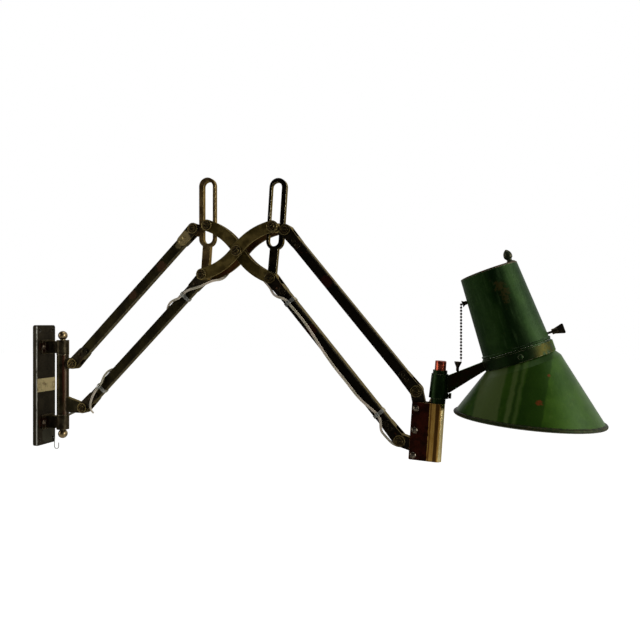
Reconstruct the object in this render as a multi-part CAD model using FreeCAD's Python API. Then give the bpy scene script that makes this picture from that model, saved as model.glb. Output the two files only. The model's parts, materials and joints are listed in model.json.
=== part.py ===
"""Articulating wall lamp: a two-stage parallelogram arm with a scissor in its middle.

Millimetres. The origin is the centre of the wall plate's back face, +X points away from the
wall and +Z is up, so the whole arm lies in the XZ plane and its pins lie along Y. The side
that faces -Y is called the front. A frame here is (x, z, lean): a place in the XZ plane and
the angle in degrees from +X towards +Z of the frame's own first axis.
"""

import FreeCAD
import Part
import os
from math import acos, asin, atan2, cos, hypot, pi, radians, sin, tan

V = FreeCAD.Vector

# ---------------------------------------------------------------- driving dimensions
# wall plate, a shallow cast pan with a boss behind each wall screw and a rib across its middle
PLATE_W = 44.0
PLATE_H = 190.5
PLATE_D = 7.0
PLATE_WALL = 2.0
PLATE_CORNER_R = 4.0
WALL_HOLE_R = 2.6
WALL_HOLE_DY = PLATE_W - 14.0
WALL_HOLE_DZ = PLATE_H - 16.5
WALL_BOSS_R = 5.6
WALL_RIB_H = 10.0
NAME_W = 41.0
NAME_H = 21.0
NAME_T = 0.8
NAME_PIN_R = 1.6
NAME_PIN_DY = 34.0
NAME_PIN_HEAD = 0.9

# hinge on the wall plate
HINGE_X = 38.0
HINGE_TOP = 71.5
HINGE_BOTTOM = -70.0
KNUCKLE_H = 22.5
KNUCKLE_R = 9.5
SWIVEL_R = 9.2
HINGE_PIN_R = 4.0
HINGE_WASHER_T = 0.8
BALL_R = 7.25
BALL_STAND = 7.2
FOOT_W = 27.0
FOOT_T = 3.0
FOOT_CORNER_R = 3.0
HINGE_ARM_T = 9.0
HINGE_ARM_H = 19.0
FOOT_SCREW_R = 2.0
FOOT_SCREW_HEAD_R = 3.4
FOOT_SCREW_HEAD_H = 2.4
FOOT_SCREW_DY = 18.6

# hook at the foot of the wall plate
HOOK_WIRE_R = 0.65
HOOK_Y = PLATE_W / 2 - 4.0
HOOK_Z = 7.25 - PLATE_H / 2
HOOK_DROP = 14.0
HOOK_BEND_R = 4.0
HOOK_LIP = 6.0

# pin-to-pin geometry of the arm
LOWER_PIN_X = 78.2
LOWER_PIN_Z = -34.2
LUG_X = 18.0
LUG_Z = 69.0
BAR_L = 290.8
LEFT_RISE = 44.6
RIGHT_FALL = 50.4
SCISSOR_R = 63.7
SCISSOR_ANGLE = 34.9
SAG = 3.8

# pins and their hardware
PIN_R = 4.0
RUN = 0.05
SIDE_GAP = 0.3
EYE_R = 8.5
WASHER_R = 7.75
WASHER_T = 1.2
HEAD_R = 4.9
HEAD_H = 2.6
HEAD_SLOT_W = 1.2
HEAD_SLOT_D = 0.9
NUT_R = 6.4
NUT_H = 4.0
NUT_SHOW = 1.2

# long bars
LUG_T = 7.4
RIGHT_LUG_T = 14.4
BAR_H = 15.0
BAR_WALL = 1.2
BAR_START = 17.0
CHEEK_T = 3.0
CHEEK_L = 33.0
CHEEK_TIP_R = 7.4
RIVET_R = 1.8
RIVET_HEAD_R = 2.9
RIVET_HEAD_H = 1.2
RIVET_PITCH = 7.5

# slotted links
SLOT_W = 15.0
SLOT_LOW = 53.5
SLOT_HIGH = 130.5
RAIL_THICK = 7.0
RAIL_THIN = 3.8
LOOP_CROWN = 6.0
LOOP_HEEL = 5.5
STEM_R = 6.25
LEFT_SLOT_X = 5.5

# scissor bars
SCISSOR_W = 17.0
SCISSOR_BOW = 5.7
SCISSOR_T = 3.0
RISING_GAP = 24.0
SLEEVE_R = 5.6
SLIDER_LEFT_R = 4.6

# post bracket and post
POST_X = 47.3
POST_R = 7.5
POST_TOP = 112.0
POST_EDGE = 1.0
STRAP_T = 1.8
STRAP_LOW = -23.5
STRAP_HIGH = 54.5
STRAP_EDGE_X = 13.5
STRAP_SCREW_X = 19.0
STRAP_SCREW_Z = (46.0, 16.5, -17.5)
STRAP_SCREW_R = 2.2
STRAP_SCREW_HEAD_R = 4.4
STRAP_SCREW_HEAD_H = 1.9

# lamp arm
COLLAR_LOW = 54.8
COLLAR_HIGH = 99.3
COLLAR_R = 13.0
COLLAR_TOP_R = 11.2
COLLAR_NECK_R = 9.6
COLLAR_NECK_LOW_H = 7.2
COLLAR_NECK_HIGH_H = 4.8
ARM_T = 10.0
ARM_ROOT = (9.5, 80.5)
ARM_ROOT_R = 10.8
ARM_TIP_R = 5.7
RING_R = 46.1
RING_T = 1.4
RING_LOW = -16.0
RING_H = 13.6
COLLAR_SCREW_Z = 66.0
RING_SCREW_R = 1.6
RING_SCREW_HEAD_R = 3.2
RING_SCREW_HEAD_H = 1.8

# husk, in a frame of its own along its axis
HUSK_X = 95.0
HUSK_Z = 135.7
HUSK_LEAN = 22.65
HUSK_BASE_R = 43.5
HUSK_TOP_R = 37.6
HUSK_H = 106.0
HUSK_T = 1.5
HUSK_BEAD_R = 1.5
LID_T = 2.0
LID_LAP = 0.6
LID_SCREW_X = -6.0
FINIAL_X = 29.5
FINIAL_H = 18.5
FINIAL_R = 5.3
FINIAL_FLANGE_R = 6.4
FINIAL_TIP_R = 0.6

# shade, a cone about the mouth's axis with a tilted neck
MOUTH_X = 115.9
MOUTH_Z = 47.4
MOUTH_R = 93.3
SHADE_T = 1.3
BEAD_R = 2.4
NECK_R = 44.4
NECK_TOP = -0.3
SHOULDER_DROP = 8.0
SHOULDER_SHIFT = -3.4
SHOULDER_R = 53.2

# lamp holder, bulb and switch key
HOLDER_R = 19.0
HOLDER_LOW = -8.0
HOLDER_H = 50.0
HOLDER_BORE_R = 14.0
HOLDER_BORE_H = 30.0
PLATE_DISC_T = 1.6
BULB_R = 24.0
BULB_CENTRE = -46.0
BULB_NECK_R = 12.4
BULB_CAP_R = 13.2
BULB_CAP_TOP = 17.0
BULB_CAP_LOW = -10.0
GLASS_T = 1.0
KEY_Z = 6.5
KEY_STEM_R = 1.5
KEY_BARREL_R = 3.6
KEY_BARREL_START = 49.0
KEY_BARREL_L = 7.0
KEY_PADDLE_L = 8.5
KEY_PADDLE_W = 14.0
KEY_PADDLE_T = 3.2

# pull chain
CHAIN_TOP = (24.0, 187.5)
CHAIN_FOOT_X = 26.4
BEAD_SIZE = 3.2
BEAD_PITCH = 4.2
BEAD_WIRE_R = 0.45
GUIDE_L = 6.5
GUIDE_R = 2.6
GUIDE_MOUTH_R = 4.6
ANCHOR_H = 12.5
ANCHOR_STEM_R = 2.0
ANCHOR_HEAD_R = 4.9

# flexible cord
CORD_R = 1.8
GROMMET_Y = 17.0
GROMMET_Z = -57.0
GROMMET_R = 3.4
GROMMET_SHOW = 1.6
CLIP_T = 0.8
CLIP_W = 5.0
CLIP_A = 45.0
CLIP_B = BAR_L - 45.5
CLIP_C = 45.0
CLIP_D = BAR_L - 45.5
CLIP_LEFT_Z = 3.5
CLIP_RIGHT_Z = -1.5
CLIP_LEAD = 6.5
GLAND_R = 5.0
GLAND_Z = 24.0


# ---------------------------------------------------------------- plane geometry
def turned(x, z, lean):
    """The point (x, z) turned by lean degrees from +X towards +Z."""
    a = radians(lean)
    return x * cos(a) - z * sin(a), x * sin(a) + z * cos(a)


def frame_at(frame, x, z, lean):
    """The frame whose place is (x, z) in frame, and which leans lean more than it."""
    dx, dz = turned(x, z, frame[2])
    return frame[0] + dx, frame[1] + dz, frame[2] + lean


def point_in(frame, x, y, z):
    """The place of (x, y, z) of frame, in the part's own axes."""
    dx, dz = turned(x, z, frame[2])
    return V(frame[0] + dx, y, frame[1] + dz)


def placed(shape, frame):
    """shape, drawn in frame, moved to where frame is."""
    turn = FreeCAD.Rotation(V(0, -1, 0), frame[2])
    out = shape.copy()
    out.Placement = FreeCAD.Placement(V(frame[0], 0, frame[1]), turn).multiply(out.Placement)
    return out


# The arm's frames. The sag of the scissor leans everything beyond it by the same angle.
LOWER_LEFT = (LOWER_PIN_X, LOWER_PIN_Z, LEFT_RISE)
LEFT_END = frame_at(LOWER_LEFT, BAR_L, 0, 0)
UPPER_LEFT = (LOWER_PIN_X - LUG_X, LOWER_PIN_Z + LUG_Z, LEFT_RISE)
LEFT_LINK = frame_at(LOWER_LEFT, BAR_L, 0, -LEFT_RISE)
RISING = frame_at(LEFT_LINK, *turned(SCISSOR_R, 0, SCISSOR_ANGLE - SAG), SCISSOR_ANGLE - SAG)
FALLING = (RISING[0], RISING[1], -SCISSOR_ANGLE - SAG)
RIGHT_LINK = frame_at(FALLING, SCISSOR_R, 0, SCISSOR_ANGLE)
LOWER_RIGHT = (RIGHT_LINK[0], RIGHT_LINK[1], -RIGHT_FALL)
RIGHT_END = frame_at(LOWER_RIGHT, BAR_L, 0, 0)
UPPER_RIGHT = (*frame_at(RIGHT_LINK, LUG_X, LUG_Z, 0)[:2], -RIGHT_FALL)
BRACKET = (*RIGHT_END[:2], -SAG)
HEAD = frame_at(BRACKET, POST_X, 0, 0)
HUSK = frame_at(HEAD, HUSK_X, HUSK_Z, HUSK_LEAN)
SHADE = frame_at(HEAD, MOUTH_X, MOUTH_Z, 0)

# Half thicknesses of the stacks on the pins
LEFT_HALF = LUG_T / 2 + SIDE_GAP
RIGHT_HALF = RIGHT_LUG_T / 2 + SIDE_GAP
FALLING_HALF = LUG_T / 2 + SIDE_GAP + SCISSOR_T
RISING_HALF = RISING_GAP / 2 + SCISSOR_T
LEFT_STACK = LEFT_HALF + CHEEK_T
RIGHT_STACK = RIGHT_HALF + CHEEK_T


# ---------------------------------------------------------------- simple solids
def block(x0, x1, y0, y1, z0, z1):
    return Part.makeBox(x1 - x0, y1 - y0, z1 - z0, V(x0, y0, z0))


def rod_x(y, z, r, x0, x1):
    return Part.makeCylinder(r, x1 - x0, V(x0, y, z), V(1, 0, 0))


def rod_y(x, z, r, y0, y1):
    return Part.makeCylinder(r, y1 - y0, V(x, y0, z), V(0, 1, 0))


def rod_z(x, y, r, z0, z1):
    return Part.makeCylinder(r, z1 - z0, V(x, y, z0))


def dome(place, axis, r, h):
    """A cap of a ball, r wide at its flat foot and h high along axis."""
    ball_r = (r * r + h * h) / (2 * h)
    top = place + axis * h
    ball = Part.makeSphere(ball_r, top - axis * ball_r)
    return ball.common(Part.makeCylinder(r * 1.01, h, place, axis))


def hull(p, rp, q, rq, y0, y1):
    """The slab round two circles in the XZ plane, from y0 to y1."""
    base = atan2(q[1] - p[1], q[0] - p[0])
    spread = acos((rp - rq) / hypot(q[0] - p[0], q[1] - p[1]))

    def on(centre, r, angle):
        return V(centre[0] + r * cos(angle), y0, centre[1] + r * sin(angle))

    edges = [
        Part.LineSegment(on(p, rp, base + spread), on(q, rq, base + spread)).toShape(),
        Part.Arc(on(q, rq, base + spread), on(q, rq, base), on(q, rq, base - spread)).toShape(),
        Part.LineSegment(on(q, rq, base - spread), on(p, rp, base - spread)).toShape(),
        Part.Arc(on(p, rp, base - spread), on(p, rp, base + pi), on(p, rp, base + spread)).toShape(),
    ]
    return Part.Face(Part.Wire(edges)).extrude(V(0, y1 - y0, 0))


def both_sides(make, y0, y1):
    """The same slab on the front and on the back, between y0 and y1 from the middle."""
    return [make(-y1, -y0), make(y0, y1)]


def fused(*shapes):
    return shapes[0].multiFuse(list(shapes[1:])).removeSplitter()


def rounded_edges(shape, r, wanted):
    """shape with each edge that wanted accepts rounded to r."""
    return shape.makeFillet(r, [e for e in shape.Edges if wanted(e)])


def revolved(points):
    """A body of revolution about Z. A step is (r, z), or four numbers: a point that an arc
    passes and the point that it ends at."""
    edges = []
    last = V(points[0][0], 0, points[0][1])
    for step in points[1:]:
        if len(step) == 4:
            middle = V(step[0], 0, step[1])
            end = V(step[2], 0, step[3])
            edges.append(Part.Arc(last, middle, end).toShape())
        else:
            end = V(step[0], 0, step[1])
            edges.append(Part.LineSegment(last, end).toShape())
        last = end
    start = V(points[0][0], 0, points[0][1])
    if last.distanceToPoint(start) > 1e-6:
        edges.append(Part.LineSegment(last, start).toShape())
    face = Part.Face(Part.Wire(edges))
    return face.revolve(V(0, 0, 0), V(0, 0, 1), 360)


def tube_route(points):
    """The centre line of a cord: straight runs, each pair joined by its largest arc."""
    places = [V(*p) for p in points]
    edges = []
    radii = []
    start = places[0]
    for before, corner, after in zip(places, places[1:], places[2:]):
        into = (corner - before).normalize()
        out_of = (after - corner).normalize()
        half_turn = into.getAngle(out_of) / 2
        reach = 0.45 * min(before.distanceToPoint(corner), corner.distanceToPoint(after))
        radii.append(reach / tan(half_turn))
        bend_in = corner - into * reach
        bend_out = corner + out_of * reach
        inward = (out_of - into).normalize()
        middle = corner + inward * (radii[-1] / cos(half_turn) - radii[-1])
        edges.append(Part.LineSegment(start, bend_in).toShape())
        edges.append(Part.Arc(bend_in, middle, bend_out).toShape())
        start = bend_out
    edges.append(Part.LineSegment(start, places[-1]).toShape())
    return Part.Wire(edges), min(radii)


def cord_tube(name, points, r=CORD_R):
    """A round tube along the cord's route, with its tightest bend printed."""
    route, tightest = tube_route(points)
    along = V(*points[1]) - V(*points[0])
    section = Part.Wire(Part.Circle(V(*points[0]), along, r).toShape())
    tube = route.makePipeShell([section], True, False)
    wanted = pi * r * r * route.Length
    print(f"{name}: length {route.Length:.1f}, tightest bend {tightest:.1f}, "
          f"volume off by {abs(tube.Volume / wanted - 1):.4f}")
    return tube


# ---------------------------------------------------------------- pins and hardware
def pivot_hardware(frame, x, z, half, gap):
    """Bolt, two washers and nut on a pin whose stack reaches half to each side.

    gap is left under the washers where the outermost piece turns against them."""
    seat = half + gap
    face = seat + WASHER_T
    shank = rod_y(x, z, PIN_R, -face, face + NUT_H + NUT_SHOW)
    head = fused(shank, rod_y(x, z, HEAD_R, -face - HEAD_H, -face))
    slot = block(x - HEAD_R, x + HEAD_R, -face - HEAD_H - 1, -face - HEAD_H + HEAD_SLOT_D,
                 z - HEAD_SLOT_W / 2, z + HEAD_SLOT_W / 2)
    bolt = head.cut(slot)
    hole = rod_y(x, z, PIN_R + RUN, -face - 1, face + NUT_H + 1)
    washers = [w.cut(hole) for w in both_sides(lambda a, b: rod_y(x, z, WASHER_R, a, b), seat, face)]
    corners = [V(x + NUT_R * cos(radians(60 * k)), face, z + NUT_R * sin(radians(60 * k)))
               for k in range(6)]
    hexagon = Part.Face(Part.makePolygon(corners + corners[:1]))
    nut = hexagon.extrude(V(0, NUT_H, 0)).cut(hole)
    return [placed(s, frame) for s in [bolt, *washers, nut]]


def sleeve(x, z, r, y0, y1):
    """A spacer tube on a pin."""
    return rod_y(x, z, r, y0, y1).cut(rod_y(x, z, PIN_R + RUN, y0 - 1, y1 + 1))


# ---------------------------------------------------------------- wall plate
def wall_plate():
    pan = block(0, PLATE_D, -PLATE_W / 2, PLATE_W / 2, -PLATE_H / 2, PLATE_H / 2)
    pan = rounded_edges(pan, PLATE_CORNER_R, along_x)
    inner_w = PLATE_W / 2 - PLATE_WALL
    inner_h = PLATE_H / 2 - PLATE_WALL
    hollow = block(-1, PLATE_D - PLATE_WALL, -inner_w, inner_w, -inner_h, inner_h)
    hollow = rounded_edges(hollow, PLATE_CORNER_R - PLATE_WALL, along_x)
    pan = rounded_edges(pan, PLATE_WALL / 2, lambda e: on_plane(e, PLATE_D))
    places = corners_of(WALL_HOLE_DY, WALL_HOLE_DZ)
    bosses = [rod_x(y, z, WALL_BOSS_R, 0, PLATE_D - PLATE_WALL / 2) for y, z in places]
    rib = block(0, PLATE_D - PLATE_WALL / 2, -inner_w, inner_w, -WALL_RIB_H / 2, WALL_RIB_H / 2)
    pan = fused(pan.cut(hollow), rib, *bosses)
    holes = [rod_x(y, z, WALL_HOLE_R, -1, PLATE_D + 1) for y, z in places]
    holes.append(rod_x(GROMMET_Y, GROMMET_Z, GROMMET_R - CLIP_T, -1, PLATE_D + 1))
    holes.append(rod_x(HOOK_Y, HOOK_Z, HOOK_WIRE_R + RUN, -1, PLATE_D + 1))
    for side in (-1, 1):
        holes.append(rod_x(side * NAME_PIN_DY / 2, 0, NAME_PIN_R / 2, -1, PLATE_D + 1))
        for centre in bracket_centres():
            holes.append(rod_x(side * FOOT_SCREW_DY / 2, centre, FOOT_SCREW_R, -1, PLATE_D + 1))
    return pan.cut(Part.makeCompound(holes))


def along_x(edge):
    """Whether edge is straight and runs along X."""
    if len(edge.Vertexes) != 2:
        return False
    a, b = (v.Point for v in edge.Vertexes)
    return hypot(a.y - b.y, a.z - b.z) < 1e-6


def on_plane(edge, x):
    """Whether edge lies wholly at this x."""
    box = edge.BoundBox
    return abs(box.XMin - x) < 1e-6 and abs(box.XMax - x) < 1e-6


def corners_of(dy, dz):
    return [(y, z) for y in (-dy / 2, dy / 2) for z in (-dz / 2, dz / 2)]


def bracket_centres():
    """Heights of the two hinge brackets."""
    return HINGE_TOP - KNUCKLE_H / 2, HINGE_BOTTOM + KNUCKLE_H / 2


def name_plate():
    plate = block(PLATE_D, PLATE_D + NAME_T, -NAME_W / 2, NAME_W / 2, -NAME_H / 2, NAME_H / 2)
    pins = [rod_x(s * NAME_PIN_DY / 2, 0, NAME_PIN_R / 2, PLATE_D - 1, PLATE_D + NAME_T + 1) for s in (-1, 1)]
    return plate.cut(Part.makeCompound(pins))


def name_plate_pins():
    front = PLATE_D + NAME_T
    pins = []
    for side in (-1, 1):
        y = side * NAME_PIN_DY / 2
        cap = dome(V(front, y, 0), V(1, 0, 0), NAME_PIN_R, NAME_PIN_HEAD)
        pins.append(fused(cap, rod_x(y, 0, NAME_PIN_R / 2, PLATE_D - PLATE_WALL, front)))
    return pins


def hinge_bracket(centre):
    """A foot on the wall plate, an arm and a knuckle round the hinge pin."""
    face = PLATE_D + FOOT_T
    low, high = centre - KNUCKLE_H / 2, centre + KNUCKLE_H / 2
    foot = block(PLATE_D, face, -FOOT_W / 2, FOOT_W / 2, low, high)
    foot = rounded_edges(foot, FOOT_CORNER_R, along_x)
    arm = block(PLATE_D, HINGE_X, -HINGE_ARM_T / 2, HINGE_ARM_T / 2,
                centre - HINGE_ARM_H / 2, centre + HINGE_ARM_H / 2)
    knuckle = rod_z(HINGE_X, 0, KNUCKLE_R, low, high)
    holes = [rod_z(HINGE_X, 0, HINGE_PIN_R + RUN, low - 1, high + 1)]
    for side in (-1, 1):
        holes.append(rod_x(side * FOOT_SCREW_DY / 2, centre, FOOT_SCREW_R, 0, face + 1))
    return fused(foot, arm, knuckle).cut(Part.makeCompound(holes))


def bracket_screws():
    """Dome-headed screws, two in each bracket's foot."""
    face = PLATE_D + FOOT_T
    screws = []
    for centre in bracket_centres():
        for side in (-1, 1):
            y = side * FOOT_SCREW_DY / 2
            cap = dome(V(face, y, centre), V(1, 0, 0), FOOT_SCREW_HEAD_R, FOOT_SCREW_HEAD_H)
            shank = rod_x(y, centre, FOOT_SCREW_R, PLATE_D - PLATE_WALL, face)
            screws.append(fused(cap, shank))
    return screws


def hinge_pin():
    """The rod of the hinge with the ball on its top end."""
    rod = rod_z(HINGE_X, 0, HINGE_PIN_R, HINGE_BOTTOM - BALL_STAND, HINGE_TOP + BALL_STAND)
    ball = Part.makeSphere(BALL_R, V(HINGE_X, 0, HINGE_TOP + BALL_STAND))
    ball = ball.cut(block(0, 2 * HINGE_X, -BALL_R, BALL_R, 0, HINGE_TOP))
    return fused(rod, ball)


def pin_ball_nut():
    """The ball screwed on the bottom end of the hinge pin."""
    ball = Part.makeSphere(BALL_R, V(HINGE_X, 0, HINGE_BOTTOM - BALL_STAND))
    ball = ball.cut(block(0, 2 * HINGE_X, -BALL_R, BALL_R, HINGE_BOTTOM, 0))
    return ball.cut(rod_z(HINGE_X, 0, HINGE_PIN_R + RUN, HINGE_BOTTOM - BALL_STAND, 0))


def hinge_washers():
    """Thin washers under the knuckles, which the swivel turns between."""
    inner_top = HINGE_TOP - KNUCKLE_H
    inner_bottom = HINGE_BOTTOM + KNUCKLE_H
    hole = rod_z(HINGE_X, 0, HINGE_PIN_R + RUN, HINGE_BOTTOM, HINGE_TOP)
    return [
        rod_z(HINGE_X, 0, KNUCKLE_R, inner_top - HINGE_WASHER_T, inner_top).cut(hole),
        rod_z(HINGE_X, 0, KNUCKLE_R, inner_bottom, inner_bottom + HINGE_WASHER_T).cut(hole),
    ]


def cord_hook():
    """A bent wire hook in a hole near the foot of the plate."""
    x = PLATE_D + 2 * HOOK_WIRE_R
    bend = 1.5 * HOOK_WIRE_R
    low = HOOK_Z - HOOK_DROP
    out = V(x + 2 * HOOK_BEND_R, HOOK_Y, low)
    edges = [
        Part.LineSegment(V(PLATE_D - PLATE_WALL, HOOK_Y, HOOK_Z), V(x - bend, HOOK_Y, HOOK_Z)).toShape(),
        Part.Arc(V(x - bend, HOOK_Y, HOOK_Z),
                 V(x - bend + bend * sin(pi / 4), HOOK_Y, HOOK_Z - bend + bend * cos(pi / 4)),
                 V(x, HOOK_Y, HOOK_Z - bend)).toShape(),
        Part.LineSegment(V(x, HOOK_Y, HOOK_Z - bend), V(x, HOOK_Y, low)).toShape(),
        Part.Arc(V(x, HOOK_Y, low), V(x + HOOK_BEND_R, HOOK_Y, low - HOOK_BEND_R), out).toShape(),
        Part.LineSegment(out, out + V(0, 0, HOOK_LIP)).toShape(),
    ]
    section = Part.Wire(Part.Circle(V(PLATE_D - PLATE_WALL, HOOK_Y, HOOK_Z), V(1, 0, 0), HOOK_WIRE_R).toShape())
    return Part.Wire(edges).makePipeShell([section], True, False)


def wall_grommet():
    """A rubber bush in the plate, where the cord comes through."""
    waist = GROMMET_R - CLIP_T
    bush = fused(rod_x(GROMMET_Y, GROMMET_Z, GROMMET_R, PLATE_D, PLATE_D + GROMMET_SHOW),
                 rod_x(GROMMET_Y, GROMMET_Z, waist, PLATE_D - PLATE_WALL, PLATE_D))
    return bush.cut(rod_x(GROMMET_Y, GROMMET_Z, CORD_R + RUN, 0, PLATE_D + 2 * GROMMET_SHOW))


# ---------------------------------------------------------------- swivel
def swivel():
    """The barrel that turns on the hinge pin, with a lug for each left bar."""
    low = HINGE_BOTTOM + KNUCKLE_H + HINGE_WASHER_T + SIDE_GAP
    high = HINGE_TOP - KNUCKLE_H - HINGE_WASHER_T - SIDE_GAP
    barrel = rod_z(HINGE_X, 0, SWIVEL_R, low, high)
    half = LUG_T / 2
    pins = (UPPER_LEFT[:2], LOWER_LEFT[:2])
    lugs = [hull((HINGE_X, z), EYE_R, (x, z), EYE_R, -half, half) for x, z in pins]
    rib = hull((HINGE_X + EYE_R / 2, LOWER_PIN_Z + EYE_R), EYE_R, (LOWER_PIN_X - EYE_R, LOWER_PIN_Z),
               EYE_R, -half, half)
    body = fused(barrel, *lugs, rib)
    holes = [rod_y(x, z, PIN_R + RUN, -LUG_T, LUG_T) for x, z in pins]
    holes.append(rod_z(HINGE_X, 0, HINGE_PIN_R + RUN, low - 1, high + 1))
    return body.cut(Part.makeCompound(holes))


def swivel_bolts():
    return [s for frame in (UPPER_LEFT, LOWER_LEFT)
            for s in pivot_hardware(frame, 0, 0, LEFT_STACK, SIDE_GAP)]


# ---------------------------------------------------------------- long bars
def channel_bar(half, web_side):
    """A folded channel between two forks, closed on the web's side only."""
    end = BAR_L - BAR_START
    outer = block(BAR_START, end, -half, half, -BAR_H / 2, BAR_H / 2)
    inner_low, inner_high = -BAR_H / 2 + BAR_WALL, BAR_H / 2 + 1
    if web_side > 0:
        inner_low, inner_high = -BAR_H / 2 - 1, BAR_H / 2 - BAR_WALL
    trough = block(BAR_START - 1, end + 1, -half + BAR_WALL, half - BAR_WALL, inner_low, inner_high)
    holes = [rod_y(x, 0, RIVET_R, -half - 1, half + 1) for x in rivet_places()]
    return outer.cut(Part.makeCompound([trough, *holes]))


def rivet_places():
    """Where the rivets stand along a bar, two at each end."""
    first = BAR_START + RIVET_R + BAR_WALL
    near = [first, first + RIVET_PITCH]
    return near + [BAR_L - x for x in near]


def fork(half):
    """The four cheeks of a bar and the rivets that hold them."""
    solids = []
    for pin, tip in ((0, CHEEK_L - CHEEK_TIP_R), (BAR_L, BAR_L - CHEEK_L + CHEEK_TIP_R)):
        holes = [rod_y(pin, 0, PIN_R + RUN, -2 * half - CHEEK_T, 2 * half + CHEEK_T)]
        holes += [rod_y(x, 0, RIVET_R, -2 * half - CHEEK_T, 2 * half + CHEEK_T) for x in rivet_places()]
        drilled = Part.makeCompound(holes)
        cheeks = both_sides(lambda a, b: hull((pin, 0), EYE_R, (tip, 0), CHEEK_TIP_R, a, b),
                            half, half + CHEEK_T)
        solids += [c.cut(drilled) for c in cheeks]
    outer = half + CHEEK_T
    for x in rivet_places():
        shank = rod_y(x, 0, RIVET_R, -outer, outer)
        front = dome(V(x, -outer, 0), V(0, -1, 0), RIVET_HEAD_R, RIVET_HEAD_H)
        back = dome(V(x, outer, 0), V(0, 1, 0), RIVET_HEAD_R, RIVET_HEAD_H)
        solids.append(fused(shank, front, back))
    return solids


def in_frame(shapes, frame):
    return [placed(s, frame) for s in shapes]


def cord_clip(x, z, half):
    """A thin band round a bar with an eye for the cord on its front face."""
    def band(grow):
        return block(x - CLIP_W / 2, x + CLIP_W / 2, -half - grow, half + grow,
                     -BAR_H / 2 - grow, BAR_H / 2 + grow)
    eye_y = -half - CLIP_T - CORD_R - RUN
    eye = rod_x(eye_y, z, CORD_R + RUN + CLIP_T, x - CLIP_W / 2, x + CLIP_W / 2)
    bore = rod_x(eye_y, z, CORD_R + RUN, x - CLIP_W, x + CLIP_W)
    clip = fused(band(CLIP_T), eye).cut(block(x - CLIP_W, x + CLIP_W, -half, half, -BAR_H / 2, BAR_H / 2))
    return clip.cut(bore)


# ---------------------------------------------------------------- links and scissor
def slotted_link(side, slot_x):
    """A link with a pin eye at its foot, a lug to one side and a long slot above."""
    half = LUG_T / 2
    loop_r = (SLOT_W + RAIL_THICK + RAIL_THIN) / 2
    loop_x = slot_x + side * (RAIL_THICK - RAIL_THIN) / 2
    crown = SLOT_HIGH + SLOT_W / 2 + LOOP_CROWN - loop_r
    heel = SLOT_LOW - SLOT_W / 2 - LOOP_HEEL + loop_r
    foot = hull((0, 0), EYE_R, (0, STEM_R), STEM_R, -half, half)
    stem = hull((0, 0), STEM_R, (loop_x, heel), STEM_R, -half, half)
    loop = hull((loop_x, heel), loop_r, (loop_x, crown), loop_r, -half, half)
    lug = hull((side * LUG_X, LUG_Z), EYE_R, (loop_x + side * STEM_R, LUG_Z - STEM_R), EYE_R, -half, half)
    slot = hull((slot_x, SLOT_LOW), SLOT_W / 2, (slot_x, SLOT_HIGH), SLOT_W / 2, -half - 1, half + 1)
    holes = [rod_y(0, 0, PIN_R + RUN, -half - 1, half + 1),
             rod_y(side * LUG_X, LUG_Z, PIN_R + RUN, -RIGHT_LUG_T, RIGHT_LUG_T)]
    body = fused(foot, stem, loop, lug)
    return body, Part.makeCompound([slot, *holes])


def left_link():
    body, cuts = slotted_link(-1, LEFT_SLOT_X)
    return body.cut(cuts)


def right_link():
    """The same link, the other way round, with its lug built out to the deeper right bars."""
    body, cuts = slotted_link(1, 0)
    half = RIGHT_LUG_T / 2
    boss = rod_y(LUG_X, LUG_Z, EYE_R, -half, half)
    return fused(body, boss).cut(cuts)


def left_link_bolts():
    """The pin at the link's lug, and the long pin that the rising bar also turns on."""
    solids = pivot_hardware(LEFT_LINK, -LUG_X, LUG_Z, LEFT_STACK, SIDE_GAP)
    solids += pivot_hardware(LEFT_LINK, 0, 0, RISING_HALF, SIDE_GAP)
    inner, outer = LEFT_STACK + SIDE_GAP, RISING_GAP / 2 - SIDE_GAP
    solids += in_frame(both_sides(lambda a, b: sleeve(0, 0, SLEEVE_R, a, b), inner, outer), LEFT_LINK)
    return solids


def right_link_bolts():
    solids = pivot_hardware(RIGHT_LINK, LUG_X, LUG_Z, RIGHT_STACK, SIDE_GAP)
    solids += pivot_hardware(RIGHT_LINK, 0, 0, RIGHT_STACK, SIDE_GAP)
    return solids


def s_plate(bulge, y0, y1):
    """An S-shaped plate from pin to pin; bulge is the side its first half bows to."""
    half_w = SCISSOR_W / 2
    arc_r = (SCISSOR_R ** 2 / 4 + SCISSOR_BOW ** 2) / (2 * SCISSOR_BOW)
    spread = asin(SCISSOR_R / 2 / arc_r)
    pieces = []
    for middle, side in ((-SCISSOR_R / 2, bulge), (SCISSOR_R / 2, -bulge)):
        def on(r, angle, middle=middle, side=side):
            depth = side * (SCISSOR_BOW - arc_r)
            return V(middle + r * sin(angle), y0, depth + side * r * cos(angle))
        wide, narrow = arc_r + half_w, arc_r - half_w
        edges = [
            Part.Arc(on(wide, -spread), on(wide, 0), on(wide, spread)).toShape(),
            Part.LineSegment(on(wide, spread), on(narrow, spread)).toShape(),
            Part.Arc(on(narrow, spread), on(narrow, 0), on(narrow, -spread)).toShape(),
            Part.LineSegment(on(narrow, -spread), on(wide, -spread)).toShape(),
        ]
        pieces.append(Part.Face(Part.Wire(edges)).extrude(V(0, y1 - y0, 0)))
    pieces += [rod_y(x, 0, half_w, y0, y1) for x in (-SCISSOR_R, 0, SCISSOR_R)]
    holes = [rod_y(x, 0, PIN_R + RUN, y0 - 1, y1 + 1) for x in (-SCISSOR_R, 0, SCISSOR_R)]
    return fused(*pieces).cut(Part.makeCompound(holes))


def rising_plates():
    """Two wide-set S-plates, from the left link's foot to the right link's slot."""
    return in_frame(both_sides(lambda a, b: s_plate(-1, a, b), RISING_GAP / 2, RISING_HALF), RISING)


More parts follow.
